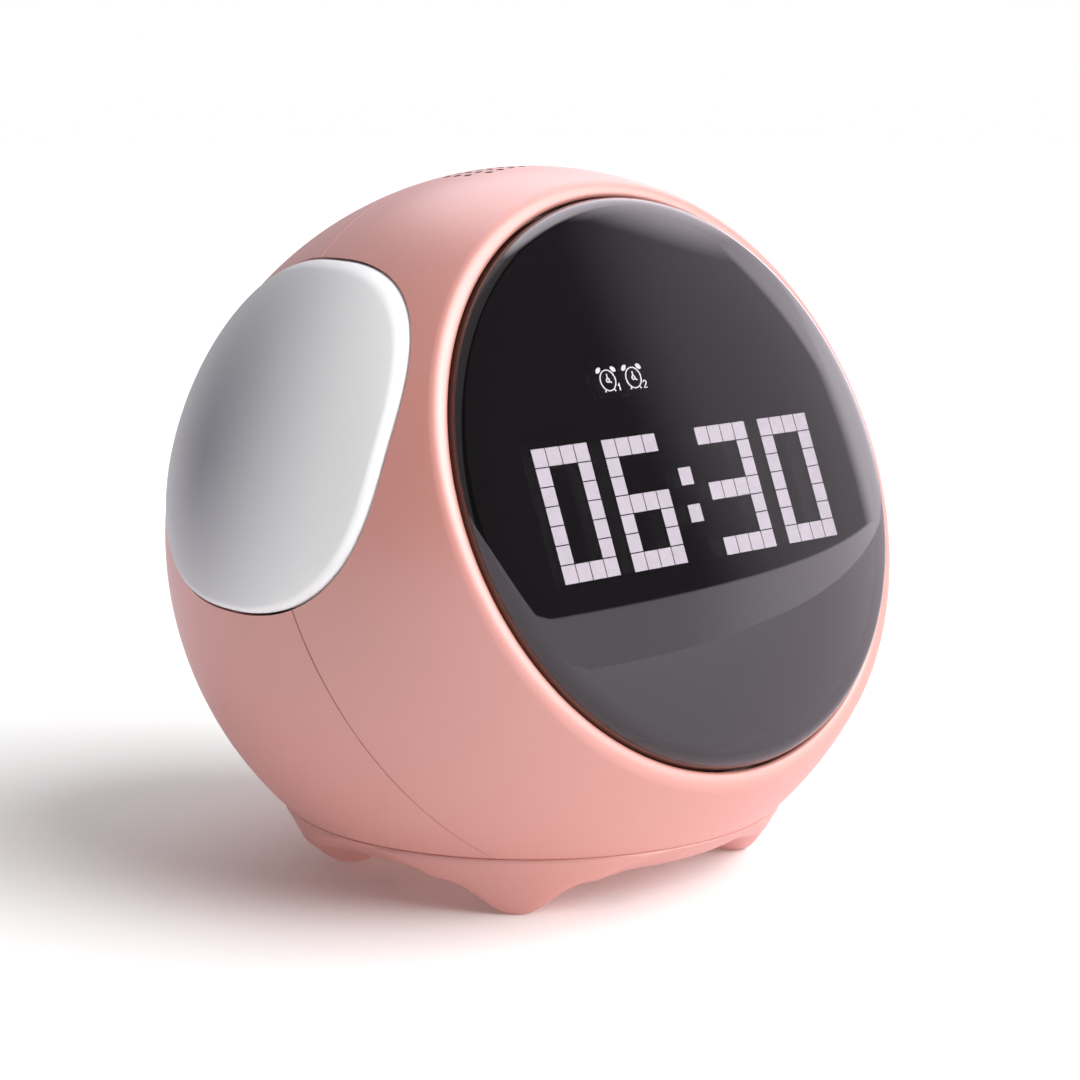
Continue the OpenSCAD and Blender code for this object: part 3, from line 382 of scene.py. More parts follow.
def arc(centre, radius, start, end, steps):
    """Points of an arc between two angles in degrees."""
    angles = [math.radians(start + (end - start) * i / steps) for i in range(steps + 1)]
    return [(centre[0] + radius * math.cos(a), centre[1] + radius * math.sin(a)) for a in angles]


def turned(profile, closed=True, steps=SPIN_STEPS):
    """A solid turned around Z from (radius, height) points; an open profile ends on the axis."""
    bm = bmesh.new()
    verts = [bm.verts.new((r, 0, h)) for r, h in profile]
    ends = verts[1:] + verts[:1] if closed else verts[1:]
    edges = [bm.edges.new(pair) for pair in zip(verts, ends)]
    bmesh.ops.spin(bm, geom=verts + edges, axis=(0, 0, 1), angle=2 * math.pi, steps=steps,
                   use_merge=True)
    bmesh.ops.remove_doubles(bm, verts=bm.verts, dist=1e-4)
    bmesh.ops.recalc_face_normals(bm, faces=bm.faces)
    return bm


def loop_of(bm, points):
    """A closed loop of edges through points."""
    verts = [bm.verts.new(p) for p in points]
    return verts, [bm.edges.new(pair) for pair in zip(verts, verts[1:] + verts[:1])]


def extruded(bm, edges, move):
    """Extrudes a loop of edges and moves the new points by a function of their place."""
    made = bmesh.ops.extrude_edge_only(bm, edges=edges)["geom"]
    for vert in (g for g in made if isinstance(g, bmesh.types.BMVert)):
        vert.co = move(vert.co)
    return [g for g in made if isinstance(g, bmesh.types.BMEdge)]


def prism(points, low, high):
    """A closed prism along Z over a loop of (x, y) points."""
    bm = bmesh.new()
    verts, edges = loop_of(bm, [(x, y, low) for x, y in points])
    face = bm.faces.new(verts)
    top = bmesh.ops.extrude_face_region(bm, geom=[face], use_keep_orig=True)["geom"]
    bmesh.ops.translate(bm, verts=[g for g in top if isinstance(g, bmesh.types.BMVert)],
                        vec=(0, 0, high - low))
    bmesh.ops.recalc_face_normals(bm, faces=bm.faces)
    return bm


def stadium(half, radius, steps=24):
    """Outline of a slot with round ends; half is its half length."""
    right = arc((half - radius, 0), radius, -90, 90, steps)
    return right + [(-x, -y) for x, y in right]


def box(size, place):
    """A box of a size around a place."""
    bm = bmesh.new()
    bmesh.ops.create_cube(bm, size=1,
                          matrix=Matrix.Translation(place) @ Matrix.Diagonal((*size, 1)))
    return bm


def cylinder(radius, low, high, x=0.0, y=0.0, segments=64):
    """A cylinder along Z between two heights."""
    bm = bmesh.new()
    place = Matrix.Translation((x, y, (low + high) / 2))
    bmesh.ops.create_cone(bm, cap_ends=True, segments=segments, radius1=radius, radius2=radius,
                          depth=high - low, matrix=place)
    return bm


def moved(bm, matrix):
    """bm moved by a matrix, still with its faces outwards when the matrix mirrors."""
    bmesh.ops.transform(bm, matrix=matrix, verts=bm.verts)
    if matrix.determinant() < 0:
        bmesh.ops.recalc_face_normals(bm, faces=bm.faces)
    return bm


def joined(parts):
    """Several bmeshes in one."""
    whole = bmesh.new()
    for part in parts:
        mesh = bpy.data.meshes.new("part")
        part.to_mesh(mesh)
        part.free()
        whole.from_mesh(mesh)
        bpy.data.meshes.remove(mesh)
    return whole


def loose_object(bm):
    """An object for a modifier to work on."""
    mesh = bpy.data.meshes.new("loose")
    bm.to_mesh(mesh)
    bm.free()
    thing = bpy.data.objects.new("loose", mesh)
    bpy.context.scene.collection.objects.link(thing)
    return thing


def carved(bm, cutters, operation="DIFFERENCE"):
    """bm with the cutters taken away one after the other, or joined to it with "UNION"."""
    body = loose_object(bm)
    tools = [loose_object(cutter) for cutter in cutters]
    for tool in tools:
        step = body.modifiers.new("cut", "BOOLEAN")
        step.operation = operation
        step.solver = "EXACT"
        step.object = tool
    graph = bpy.context.evaluated_depsgraph_get()
    mesh = bpy.data.meshes.new_from_object(body.evaluated_get(graph))
    result = bmesh.new()
    result.from_mesh(mesh)
    bpy.data.meshes.remove(mesh)
    for thing in [body, *tools]:
        bpy.data.objects.remove(thing)
    return result


def sharp_edges(bm, angle, wanted):
    """Edges that bend by more than an angle and pass a test."""
    return [e for e in bm.edges if len(e.link_faces) == 2
            and e.calc_face_angle(0) > math.radians(angle) and wanted(e)]


ON_BALL = 0.02
CUT_ANGLE = 25
CLOSE_TO_CUT = 2.2
SHORT_CUT = 0.6


def on_sphere(vert, radius):
    """Whether a point lies on a sphere around the ball's centre."""
    return abs((vert.co - CENTRE).length - radius) < ON_BALL


def rounded(bm, edges, width, segments=3):
    """Rounds edges over a width on either side."""
    bmesh.ops.bevel(bm, geom=edges, offset=width, offset_type="OFFSET", affect="EDGES",
                    segments=segments, profile=0.5, material=-1, clamp_overlap=True)


def rounded_cuts(bm, radius, width):
    """Rounds the cut edges on the outside of the ball.

    Points that lie close to a cut are drawn onto it first, so that no sliver narrows the round."""

    def cut_edges():
        return sharp_edges(bm, CUT_ANGLE, lambda e: all(on_sphere(v, radius) for v in e.verts))

    rim = {v for e in cut_edges() for v in e.verts}
    targets = {}
    for vert in rim:
        for edge in vert.link_edges:
            other = edge.other_vert(vert)
            close = other not in rim and edge.calc_length() < CLOSE_TO_CUT * width
            if close and on_sphere(other, radius):
                targets.setdefault(other, vert)
    bmesh.ops.weld_verts(bm, targetmap=targets)
    short = [e for e in cut_edges() if e.calc_length() < SHORT_CUT * width]
    bmesh.ops.collapse(bm, edges=short)
    rounded(bm, cut_edges(), width)
    bmesh.ops.dissolve_degenerate(bm, edges=bm.edges, dist=1e-4)


SMOOTH_ANGLE = 35


def finished(name, bm, materials, body, replaces=(), ball_radius=None):
    """A piece from a bmesh in millimetres that rides on a body and stands for CAD nodes."""
    bmesh.ops.triangulate(bm, faces=[f for f in bm.faces if len(f.verts) > 4])
    for face in bm.faces:
        face.smooth = True
    for edge in bm.edges:
        edge.smooth = not (len(edge.link_faces) == 2
                           and edge.calc_face_angle(0) > math.radians(SMOOTH_ANGLE))
    mesh = bpy.data.meshes.new(name)
    bm.to_mesh(mesh)
    bm.free()
    if ball_radius:
        ball_normals(mesh, ball_radius)
    mesh.transform(Matrix.Scale(MM, 4))
    for material in materials:
        mesh.materials.append(material)
    piece = bpy.data.objects.new(name, mesh)
    bpy.context.scene.collection.objects.link(piece)
    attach(piece, body)
    if replaces:
        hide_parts(*replaces)
    return piece


def ball_normals(mesh, radius):
    """Gives what lies on a sphere the sphere's own normals, so that cuts leave no dents in it."""
    normals = [c.vector.copy() for c in mesh.corner_normals]
    for face in mesh.polygons:
        for index in face.loop_indices:
            vert = mesh.vertices[mesh.loops[index].vertex_index]
            out = (vert.co - CENTRE).normalized()
            if on_sphere(vert, radius) and face.normal.dot(out) > 0.5:
                normals[index] = out
    mesh.normals_split_custom_set(normals)


# ---- Ball: front and rear casing ----


def ear_outline(grow=0.0):
    """Outline of an ear seen from the side, as (y, z) from the ball's centre."""
    points = []
    for i in range(EAR_POINTS):
        a = 2 * math.pi * i / EAR_POINTS
        c, s = math.cos(a), math.sin(a)
        points.append((
            math.copysign(abs(c) ** (2 / EAR_POWER), c) * (EAR_HALF[0] + grow) + EAR_MID[0],
            math.copysign(abs(s) ** (2 / EAR_POWER), s) * (EAR_HALF[1] + grow) + EAR_MID[1]))
    return points


def ear_cutter(side):
    """Prism along X through the wall behind an ear."""
    along_x = Matrix(((0, 0, side, 0), (1, 0, 0, 0), (0, 1, 0, 0), (0, 0, 0, 1)))
    return moved(prism(ear_outline(EAR_GAP), EAR_CUT_X, BALL_R + PAST), IN_BALL @ along_x)


def below_seam():
    """Box that takes away everything under the base seam."""
    side = 2 * (BALL_R + 2 * PAST)
    return moved(box((side, side, 2 * BALL_R), (0, 0, SEAM_Z + SEAM_HALF - BALL_R)), IN_BALL)


def sound_holes():
    """Cylinders of the field of sound holes on top."""
    bm = bmesh.new()
    nx, ny = int(FIELD[0] / HOLE_PITCH), int(FIELD[1] / HOLE_PITCH)
    for i in range(-nx, nx + 1):
        for j in range(-ny, ny + 1):
            x, y = i * HOLE_PITCH, j * HOLE_PITCH
            if (x / FIELD[0]) ** 4 + (y / FIELD[1]) ** 4 < FIELD_EDGE:
                place = IN_BALL @ Matrix.Translation((x, GRILLE_Y + y, BALL_R))
                bmesh.ops.create_cone(bm, cap_ends=True, segments=HOLE_SIDES, radius1=HOLE_D / 2,
                                      radius2=HOLE_D / 2, depth=HOLE_L, matrix=place)
    return bm


def shade_painted_bores(bm):
    """Gives the walls of the sound holes the second material, a black one, as painted shade."""
    middle = CENTRE + Vector((0, GRILLE_Y, 0))
    for face in bm.faces:
        at = face.calc_center_median() - middle
        off = Vector([c - HOLE_PITCH * round(c / HOLE_PITCH) for c in at.xy])
        wall = abs(off.length - HOLE_D / 2) < 0.05 and abs(face.normal.z) < 0.1
        in_field = abs(at.x) < FIELD[0] + 1 and abs(at.y) < FIELD[1] + 1 and at.z > 0
        face.material_index = int(wall and in_field)
    return bm


def corner_at(point, start, end):
    """Small round of a seam that meets an outer point, without its last point."""
    return arc((point[0] - SEAM_ROUND, point[1]), SEAM_ROUND, start, end, 4)[:-1]


def front_profile():
    """Outer ball, rounded rim, wall of the opening, seat and inner ball."""
    low = PARTING + SEAM_HALF
    edge = math.degrees(math.asin((low + SEAM_ROUND) / BALL_R))
    turn = math.degrees(math.atan2(RIM_H - RIM_ROUND, CREST_R))
    outside = arc((0, 0), BALL_R, edge, turn, 30)
    rim = arc((CREST_R, RIM_H - RIM_ROUND), RIM_ROUND, turn, 90, 10)[1:]
    lip = arc((OPENING_R + LIP_ROUND, RIM_H - LIP_ROUND), LIP_ROUND, 90, 180, 8)
    inside_r = BALL_R - WALL
    bracket_h = SEAT_H - SEAT_T
    start = math.degrees(math.asin(bracket_h / inside_r))
    end = math.degrees(math.asin(low / inside_r))
    inside = arc((0, 0), inside_r, start, end, 12)
    seat = [(OPENING_R, SEAT_H), (SEAT_R, SEAT_H), (SEAT_R, bracket_h)]
    return corner_at(outside[0], -90, 0) + outside + rim + lip + seat + inside


def rear_profile():
    """Inner ball from its pole, the joint face and the outer ball back to its pole."""
    high = PARTING - SEAM_HALF
    inside_r = BALL_R - WALL
    inside = arc((0, 0), inside_r, -90, math.degrees(math.asin(high / inside_r)), 40)
    start = math.degrees(math.asin((high - SEAM_ROUND) / BALL_R))
    outside = arc((0, 0), BALL_R, start, -90, 64)
    return inside + corner_at(outside[0], 90, 0) + outside


def back_cutter(outline, low, elevation):
    """Prism over an outline that cuts an opening in the back."""
    return moved(prism(outline, low, BALL_R + PAST), at_back(elevation))


def make_casing(name, node, solid, openings, materials):
    """One half of the ball, cut for the base, the ears, its own openings and the sound holes."""
    cutters = [below_seam(), ear_cutter(1), ear_cutter(-1), *openings]
    casing = carved(moved(solid, ON_DISPLAY), cutters)
    rounded_cuts(casing, BALL_R, SEAM_ROUND)
    # The walls of the sound holes get the black material as painted shade.
    casing = shade_painted_bores(carved(casing, [sound_holes()]))
    finished(name, casing, materials, "clock", [node], BALL_R)


def make_casings(material, bores):
    """Both halves; the rear one has the openings of the panel and of the charging socket."""
    panel = stadium(PANEL_HALF + PANEL_PLAY, PANEL_R + PANEL_PLAY)
    port = stadium(PORT_HALF + PORT_PLAY, PORT_R + PORT_PLAY, 10)
    openings = [back_cutter(panel, PANEL_BACK, PANEL_ANGLE),
                back_cutter(port, PORT_CUT_LOW, PORT_ANGLE)]
    make_casing("front_casing", "front_shell", turned(front_profile()), [], [material, bores])
    make_casing("rear_casing", "rear_shell", turned(rear_profile(), closed=False), openings,
                [material, bores])


# ---- Base with its feet ----

BASE_RINGS = 110
RING_POWER = 0.8
BASE_SECTORS = 256
BASE_ROUND_STEPS = 4
FOOT_BLEND = 1.2
FOOT_ROOT_BLEND = 3.0


def smooth_min(a, b, k):
    """The lower of two heights, blended where they differ by less than k."""
    h = max(k - abs(a - b), 0) / k
    return min(a, b) - h * h * k / 4


def foot_height(distance):
    """Height of a bell-shaped foot's surface at a distance from its middle."""
    s = (distance - FOOT_TIP_R) / (FOOT_SPREAD_R - FOOT_TIP_R)
    if s <= 0:
        return 0.0
    if s >= 1:
        return FOOT_H + (s - 1) * FOOT_H
    return FOOT_H * (1 - math.cos(math.pi * s**FOOT_SKEW)) / 2


def underside(x, y, feet):
    """Height over the table of the base's lower surface."""
    r = math.hypot(x, y)
    ball = CENTRE.z - math.sqrt(BALL_R**2 - min(r, SEAM_R) ** 2)
    plain = -smooth_min(-FOOT_H, -ball, FOOT_BLEND) if r > BASE_FLAT_R / 2 else FOOT_H
    top = FOOT_H + BASE_T
    flank = (r - FOOT_FLANK_R) / (SEAM_R - FOOT_FLANK_R) * top
    bell = min(foot_height(math.hypot(x - fx, y - fy)) for fx, fy in feet)
    foot = -smooth_min(-bell, -flank, FOOT_BLEND)
    return max(0.0, smooth_min(plain, foot, FOOT_ROOT_BLEND))


def make_base(material):
    """A disc of rings whose lower side is drawn down into four feet, under a flat top."""
    feet = [(side * FOOT_X, y) for side in (-1, 1) for y in FOOT_YS]
    top = FOOT_H + BASE_T - SEAM_HALF
    radii = [SEAM_R * (i / BASE_RINGS) ** RING_POWER for i in range(1, BASE_RINGS + 1)]
    bm = bmesh.new()
    bmesh.ops.create_circle(bm, cap_ends=True, cap_tris=True, segments=BASE_SECTORS,
                            radius=radii[0])
    edges = [e for e in bm.edges if e.is_boundary]
    for inner, outer in zip(radii, radii[1:]):
        edges = extruded(bm, edges, lambda co, k=outer / inner: co * k)
    for vert in bm.verts:
        vert.co.z = min(underside(vert.co.x, vert.co.y, feet), top - SEAM_ROUND)
    edge_r = SEAM_R - SEAM_ROUND
    for r, z in arc((edge_r, top - SEAM_ROUND), SEAM_ROUND, 0, 90, BASE_ROUND_STEPS)[1:]:
        edges = extruded(bm, edges, lambda co, r=r, z=z: Vector((*(co.xy.normalized() * r), z)))
    bmesh.ops.edgeloop_fill(bm, edges=edges)
    bmesh.ops.recalc_face_normals(bm, faces=bm.faces)
    cuts = []
    for x, y in BASE_SCREWS + CRADLE_SCREWS:
        cuts.append(cylinder(HEAD_R + SINK_PLAY, FOOT_H - 1, FOOT_H + SINK_DEPTH, x, y, 32))
        cuts.append(cylinder(SCREW_R + SCREW_PLAY, FOOT_H, FOOT_H + BASE_T + 1, x, y, 24))
    bm = moved(carved(bm, cuts), Matrix.Translation((0, CENTRE.y, 0)))
    finished("base_with_feet", bm, [material], "clock", ["base_plate"])


# ---- Lens ----


def dome_points(radius, crown, shoulder, low):
    """Half section of a dome from its side up to its top."""
    side = CROWN_Z + math.sqrt((crown - shoulder) ** 2 - (radius - shoulder) ** 2)
    turn = math.degrees(math.atan2(side - CROWN_Z, radius - shoulder))
    round_off = arc((radius - shoulder, side), shoulder, 0, turn, 12)
    return [(radius, low)] + round_off + arc((0, CROWN_Z), crown, turn, 90, 28)[1:]


def make_lens(material, edge):
    """A thin dome with a rounded shoulder, whose outer wall has the edge's material with its
    painted reflection of the rim.
    """
    low = SEAT_H + GASKET_T
    outside = dome_points(LENS_R, CROWN_R, SHOULDER_R, low)
    inside = dome_points(LENS_R - LENS_T, CROWN_R - LENS_T, SHOULDER_R - LENS_T, low)
    bm = turned(inside[::-1] + outside, closed=False)
    # The outer wall gets the painted reflection of the rim.
    for face in bm.faces:
        face.material_index = int(face.calc_center_median().xy.length > LENS_R - PAINTED_EDGE_W)
    moved(bm, ON_DISPLAY)
    return finished("smoked_lens", bm, [material, edge], "clock", ["lens_dome"])


# ---- Display: lit cells and alarm symbols ----

DIGITS = {
    "0": ["1111", "1001", "1001", "1001", "1001", "1001", "1111"],
    "6": ["1111", "1000", "1000", "1111", "1001", "1001", "1111"],
    "3": ["1111", "0001", "0001", "1111", "0001", "0001", "1111"],
}
TIME = [("0", 0), ("6", 5), ("3", 12), ("0", 17)]
COLON = [(10, 2), (10, 4)]


def lit_cells():
    """Column and row of each cell that the time lights."""
    cells = set(COLON)
    for digit, first in TIME:
        for row, line in enumerate(DIGITS[digit]):
            cells |= {(first + i, row) for i, mark in enumerate(line) if mark == "1"}
    return cells


def make_digits(lit, dark):
    """The film over the cells: a window for each cell in a thin black grid."""
    bright = lit_cells()
    bm = bmesh.new()
    for col in range(GRID_COLS):
        for row in range(GRID_ROWS):
            x = (col - (GRID_COLS - 1) / 2) * CELL_PITCH
            y = ((GRID_ROWS - 1) / 2 - row) * CELL_PITCH
            place = Matrix.Translation((x, y, 0)) @ Matrix.Scale(CELL_PITCH, 4)
            made = bmesh.ops.create_grid(bm, x_segments=1, y_segments=1, size=0.5, matrix=place)
            face = made["verts"][0].link_faces[0]
            face.material_index = 0 if (col, row) in bright else 1
    bmesh.ops.remove_doubles(bm, verts=bm.verts, dist=1e-3)
    lines = bmesh.ops.inset_individual(bm, faces=bm.faces[:], thickness=CELL_LINE / 2)["faces"]
    for face in lines:
        face.material_index = 1
    bottom = bmesh.ops.extrude_face_region(bm, geom=bm.faces[:], use_keep_orig=True)["geom"]
    low = {g for g in bottom if isinstance(g, bmesh.types.BMVert)}
    bmesh.ops.translate(bm, verts=list(low), vec=(0, 0, -FILM_T))
    for face in bm.faces:
        if low.issuperset(face.verts):
            face.material_index = 1
    bmesh.ops.recalc_face_normals(bm, faces=bm.faces)
    moved(bm, ON_DISPLAY @ Matrix.Translation((0, -GRID_DROP, FACE_H + FILM_T)))
    finished("digit_cells", bm, [lit, dark], "clock", ["digit_film"])


# ---- Ears ----

EAR_EDGE_STEPS = 8
EAR_TOP_RINGS = 22
EAR_UNDER_RINGS = 8


def make_ear(side, name, body, node, material):
    """A shell cut from a sphere by the ear's outline, with a rounded edge."""
    outer_r = BALL_R + EAR_PROUD

    def ring(outline, radius, scale=1.0):
        """The outline shrunk around the ear's middle and laid on a sphere."""
        places = [((y - EAR_MID[0]) * scale + EAR_MID[0], (z - EAR_MID[1]) * scale + EAR_MID[1])
                  for y, z in outline]
        return [Vector((math.sqrt(radius**2 - y**2 - z**2), y, z)) for y, z in places]

    under = [ring(ear_outline(), outer_r - EAR_T, k / EAR_UNDER_RINGS)
             for k in range(1, EAR_UNDER_RINGS + 1)]
    edge = [ring(ear_outline(inset), outer_r + drop)
            for inset, drop in arc((-EAR_ROUND, -EAR_ROUND), EAR_ROUND, 0, 90, EAR_EDGE_STEPS)]
    top = [ring(ear_outline(-EAR_ROUND), outer_r, 1 - k / EAR_TOP_RINGS)
           for k in range(1, EAR_TOP_RINGS)]
    bm = bmesh.new()
    loops = [loop_of(bm, points) for points in under + edge + top]
    for (_, lower), (_, upper) in zip(loops, loops[1:]):
        bmesh.ops.bridge_loops(bm, edges=lower + upper)
    for verts, _ in (loops[0], loops[-1]):
        bm.faces.new(verts)
    bmesh.ops.recalc_face_normals(bm, faces=bm.faces)
    moved(bm, IN_BALL @ Matrix.Diagonal((side, 1, 1, 1)))
    return finished(name, bm, [material], body, [node], outer_r)


# ---- Rear panel, its keys and the charging socket ----

KEY_EDGE = 0.5
KEY_FLANGE_W = 0.8
KEY_FLANGE_T = 1.2
KEY_SECTORS = 96
MARK_W = 0.5
MARK_L = 2.6
MARK_H = 0.12
MENU_LINE = (2.08, 0.35)
MENU_PITCH = 0.8
PANEL_EDGE = 0.35
PANEL_POST_X = 15.2
PANEL_POST_R = 1.5
PANEL_POST_L = 5.0
PANEL_BORE_R = 0.75
PORT_WALL = 0.3
PORT_EDGE = 0.08
PORT_L = 7.4
PORT_BACK = 1.0
PORT_TONGUE = (6.7, 0.7, 5.3)
TONGUE_EDGE = 0.12
CONTACTS = 8
CONTACT_PITCH = 0.7
CONTACT = (0.3, 0.04, 3.6)
CONTACT_RISE = 0.4


def bevel_at(bm, height, width, segments=3):
    """Rounds the sharp edges that lie at a height."""
    edges = sharp_edges(bm, 30, lambda e: all(abs(v.co.z - height) < 1e-3 for v in e.verts))
    rounded(bm, edges, width, segments)


def make_rear_panel(material):
    """The plate in the back with the holes for the keys and the posts of the key board."""
    plate = prism(stadium(PANEL_HALF, PANEL_R, 32), PANEL_BACK, PANEL_FACE)
    posts = [cylinder(PANEL_POST_R, PANEL_BACK - PANEL_POST_L, PANEL_BACK + 0.5, x)
             for x in (-PANEL_POST_X, PANEL_POST_X)]
    plate = carved(plate, posts, "UNION")
    holes = [cylinder(BUTTON_R + BUTTON_PLAY, PANEL_BACK - 1, PANEL_FACE + 1, i * BUTTON_PITCH)
             for i in (-1, 0, 1)]
    bores = [cylinder(PANEL_BORE_R, PANEL_BACK - PANEL_POST_L - 1, PANEL_BACK - 0.5, x, segments=24)
             for x in (-PANEL_POST_X, PANEL_POST_X)]
    plate = carved(plate, holes + bores)
    bevel_at(plate, PANEL_FACE, PANEL_EDGE)
    finished("key_panel", moved(plate, at_back(PANEL_ANGLE)), [material], "clock",
             ["rear_panel"])


def key_marks(kind, top):
    """Raised bars on a key: a plus, a minus, or the three lines of a menu."""
    if kind == "menu":
        return [box((*MENU_LINE, 2 * MARK_H), (0, i * MENU_PITCH, top)) for i in (-1, 0, 1)]
    bars = [box((MARK_L, MARK_W, 2 * MARK_H), (0, 0, top))]
    if kind == "plus":
        bars.append(box((MARK_W, MARK_L, 2 * MARK_H), (0, 0, top)))
    return bars


def make_key(i, kind, node, material, ink):
    """A round key with a rounded edge, a flange behind the panel and a raised mark."""
    top = PANEL_FACE + BUTTON_PROUD
    flange = PANEL_BACK - KEY_FLANGE_T
    profile = [(0, flange), (BUTTON_R + KEY_FLANGE_W, flange),
               (BUTTON_R + KEY_FLANGE_W, PANEL_BACK), (BUTTON_R, PANEL_BACK)]
    profile += arc((BUTTON_R - KEY_EDGE, top - KEY_EDGE), KEY_EDGE, 0, 90, 6) + [(0, top)]
    key = turned(profile, closed=False, steps=KEY_SECTORS)
    key = carved(key, key_marks(kind, top), "UNION")
    for face in key.faces:
        face.material_index = int(face.calc_center_median().z > top + MARK_H / 4)
    moved(key, at_back(PANEL_ANGLE) @ Matrix.Translation((i * BUTTON_PITCH, 0, 0)))
    finished(kind + "_key", key, [material, ink], node + "_body", [node])


def make_port(shell, tongue, gold):
    """The charging socket: a drawn steel shell, its tongue and the contacts on both faces."""
    mouth = BALL_R - PORT_DEPTH
    back = mouth - PORT_L
    tube = prism(stadium(PORT_HALF, PORT_R, 12), back, mouth)
    top = max(tube.faces, key=lambda face: face.calc_center_median().z)
    bmesh.ops.inset_region(tube, faces=[top], thickness=PORT_WALL, use_even_offset=True)
    floor = bmesh.ops.extrude_face_region(tube, geom=[top])["geom"]
    bmesh.ops.delete(tube, geom=[top], context="FACES_ONLY")
    bmesh.ops.translate(tube, verts=[g for g in floor if isinstance(g, bmesh.types.BMVert)],
                        vec=(0, 0, PORT_BACK - PORT_L))
    bevel_at(tube, mouth, PORT_EDGE, 2)
    middle = back + PORT_BACK + PORT_TONGUE[2] / 2
    blade = box(PORT_TONGUE, (0, 0, middle))
    bmesh.ops.bevel(blade, geom=blade.edges[:], offset=TONGUE_EDGE, affect="EDGES", segments=2,
                    profile=0.5, material=-1)
    for face in blade.faces:
        face.material_index = 1
    contacts = []
    for side in (-1, 1):
        y = side * (PORT_TONGUE[1] + CONTACT[1]) / 2
        for i in range(CONTACTS):
            x = (i - (CONTACTS - 1) / 2) * CONTACT_PITCH
            pad = box(CONTACT, (x, y, middle + CONTACT_RISE))
            for face in pad.faces:
                face.material_index = 2
            contacts.append(pad)
    whole = moved(joined([tube, blade, *contacts]), at_back(PORT_ANGLE))
    finished("charging_socket", whole, [shell, tongue, gold], "clock", ["usb_socket"])


# ---- Alarm symbols ----

SYMBOL_RING = 1.36
SYMBOL_LINE = 0.075
SYMBOL_SHIFT = 0.72
SYMBOL_FILM = (9.4, 4.6)
SYMBOL_MID = ICON_X + ICON_PITCH / 2 + 0.6
HUB_R = 0.26
HANDS = ([(0, 0.26), (0, 0.85)], [(0.22, -0.13), (0.6, -0.36)])
LEG_ANGLES = (-122, -58)
LEG_L = 0.4
BELL_ANGLES = (46, 134)
BELL_DISTANCE = 1.95
BELL = (0.46, 0.27)
LABEL_AT = (1.8, -1.0)
LABEL_H = 0.95
LABEL_R = 0.26
LABEL_FLAG = (0.2, 0.3)
LABEL_FOOT = (0.26, 0.28)


def strokes(lines, radius):
    """Round strokes through lists of points; a list that ends where it starts is a ring."""
    data = bpy.data.curves.new("strokes", "CURVE")
    data.dimensions = "3D"
    data.bevel_depth = radius
    data.bevel_resolution = 2
    data.use_fill_caps = True
    for line in lines:
        ring = line[0] == line[-1]
        points = line[:-1] if ring else line
        spline = data.splines.new("POLY")
        spline.points.add(len(points) - 1)
        spline.use_cyclic_u = ring
        for point, (x, y) in zip(spline.points, points):
            point.co = (x, y, 0, 1)
    thing = bpy.data.objects.new("strokes", data)
    bpy.context.scene.collection.objects.link(thing)
    mesh = bpy.data.meshes.new_from_object(thing)
    bm = bmesh.new()
    bm.from_mesh(mesh)
    bpy.data.meshes.remove(mesh)
    bpy.data.objects.remove(thing)
    bmesh.ops.remove_doubles(bm, verts=bm.verts, dist=1e-5)
    bmesh.ops.recalc_face_normals(bm, faces=bm.faces)
    return bm


def ring_line(radius, steps):
    """Points of a full circle that end where they start."""
    points = arc((0, 0), radius, 0, 360, steps)
    return points[:-1] + points[:1]


def alarm_symbol(x, label):
    """A clock face with its hub, hands and feet, and a small figure beside it."""
    lines = [ring_line(SYMBOL_RING, 48), ring_line(HUB_R, 16), *HANDS]
    for a in map(math.radians, LEG_ANGLES):
        lines.append([(r * math.cos(a), r * math.sin(a))
                      for r in (SYMBOL_RING, SYMBOL_RING + LEG_L)])
    mid, low, high = LABEL_AT[0], LABEL_AT[1] - LABEL_H / 2, LABEL_AT[1] + LABEL_H / 2
    if label == 1:
        lines.append([(mid - LABEL_FLAG[0], high - LABEL_FLAG[1]), (mid, high), (mid, low)])
    else:
        bow = arc((mid, high - LABEL_R), LABEL_R, 170, -35, 10)
        lines.append(bow + [(mid - LABEL_FOOT[0], low), (mid + LABEL_FOOT[1], low)])
    return [[(px + x, py) for px, py in line] for line in lines]


def make_symbols(lit, dark):
    """Two alarm-clock symbols on their window of film."""
    film = box((*SYMBOL_FILM, FILM_T), (SYMBOL_MID, 0, -FILM_T / 2))
    for face in film.faces:
        face.material_index = 1
    middles = (ICON_X + SYMBOL_SHIFT, ICON_X + SYMBOL_SHIFT + ICON_PITCH)
    lines = alarm_symbol(middles[0], 1) + alarm_symbol(middles[1], 2)
    parts = [film, moved(strokes(lines, SYMBOL_LINE), Matrix.Translation((0, 0, SYMBOL_LINE)))]
    flattened = Matrix.Diagonal((BELL[1], BELL[0], 1, 1))
    for x in middles:
        for angle in BELL_ANGLES:
            turn = Matrix.Translation((x, 0, 0)) @ Matrix.Rotation(math.radians(angle), 4, "Z")
            place = turn @ Matrix.Translation((BELL_DISTANCE, 0, 0)) @ flattened
            parts.append(moved(cylinder(1, 0, 2 * SYMBOL_LINE, segments=24), place))
    place = ON_DISPLAY @ Matrix.Translation((0, ICON_RISE, FACE_H + FILM_T))
    finished("alarm_symbols", moved(joined(parts), place), [lit, dark], "clock",
             ["icon_film"])


# ---- Screws under the base ----

HEAD_ROUND = 0.5
TIP_R = 0.15
TIP_L = 0.6
CROSS = (2.0, 0.5, 1.6)
BASE_SCREW_L = 8.0
CRADLE_SCREW_L = 3.5


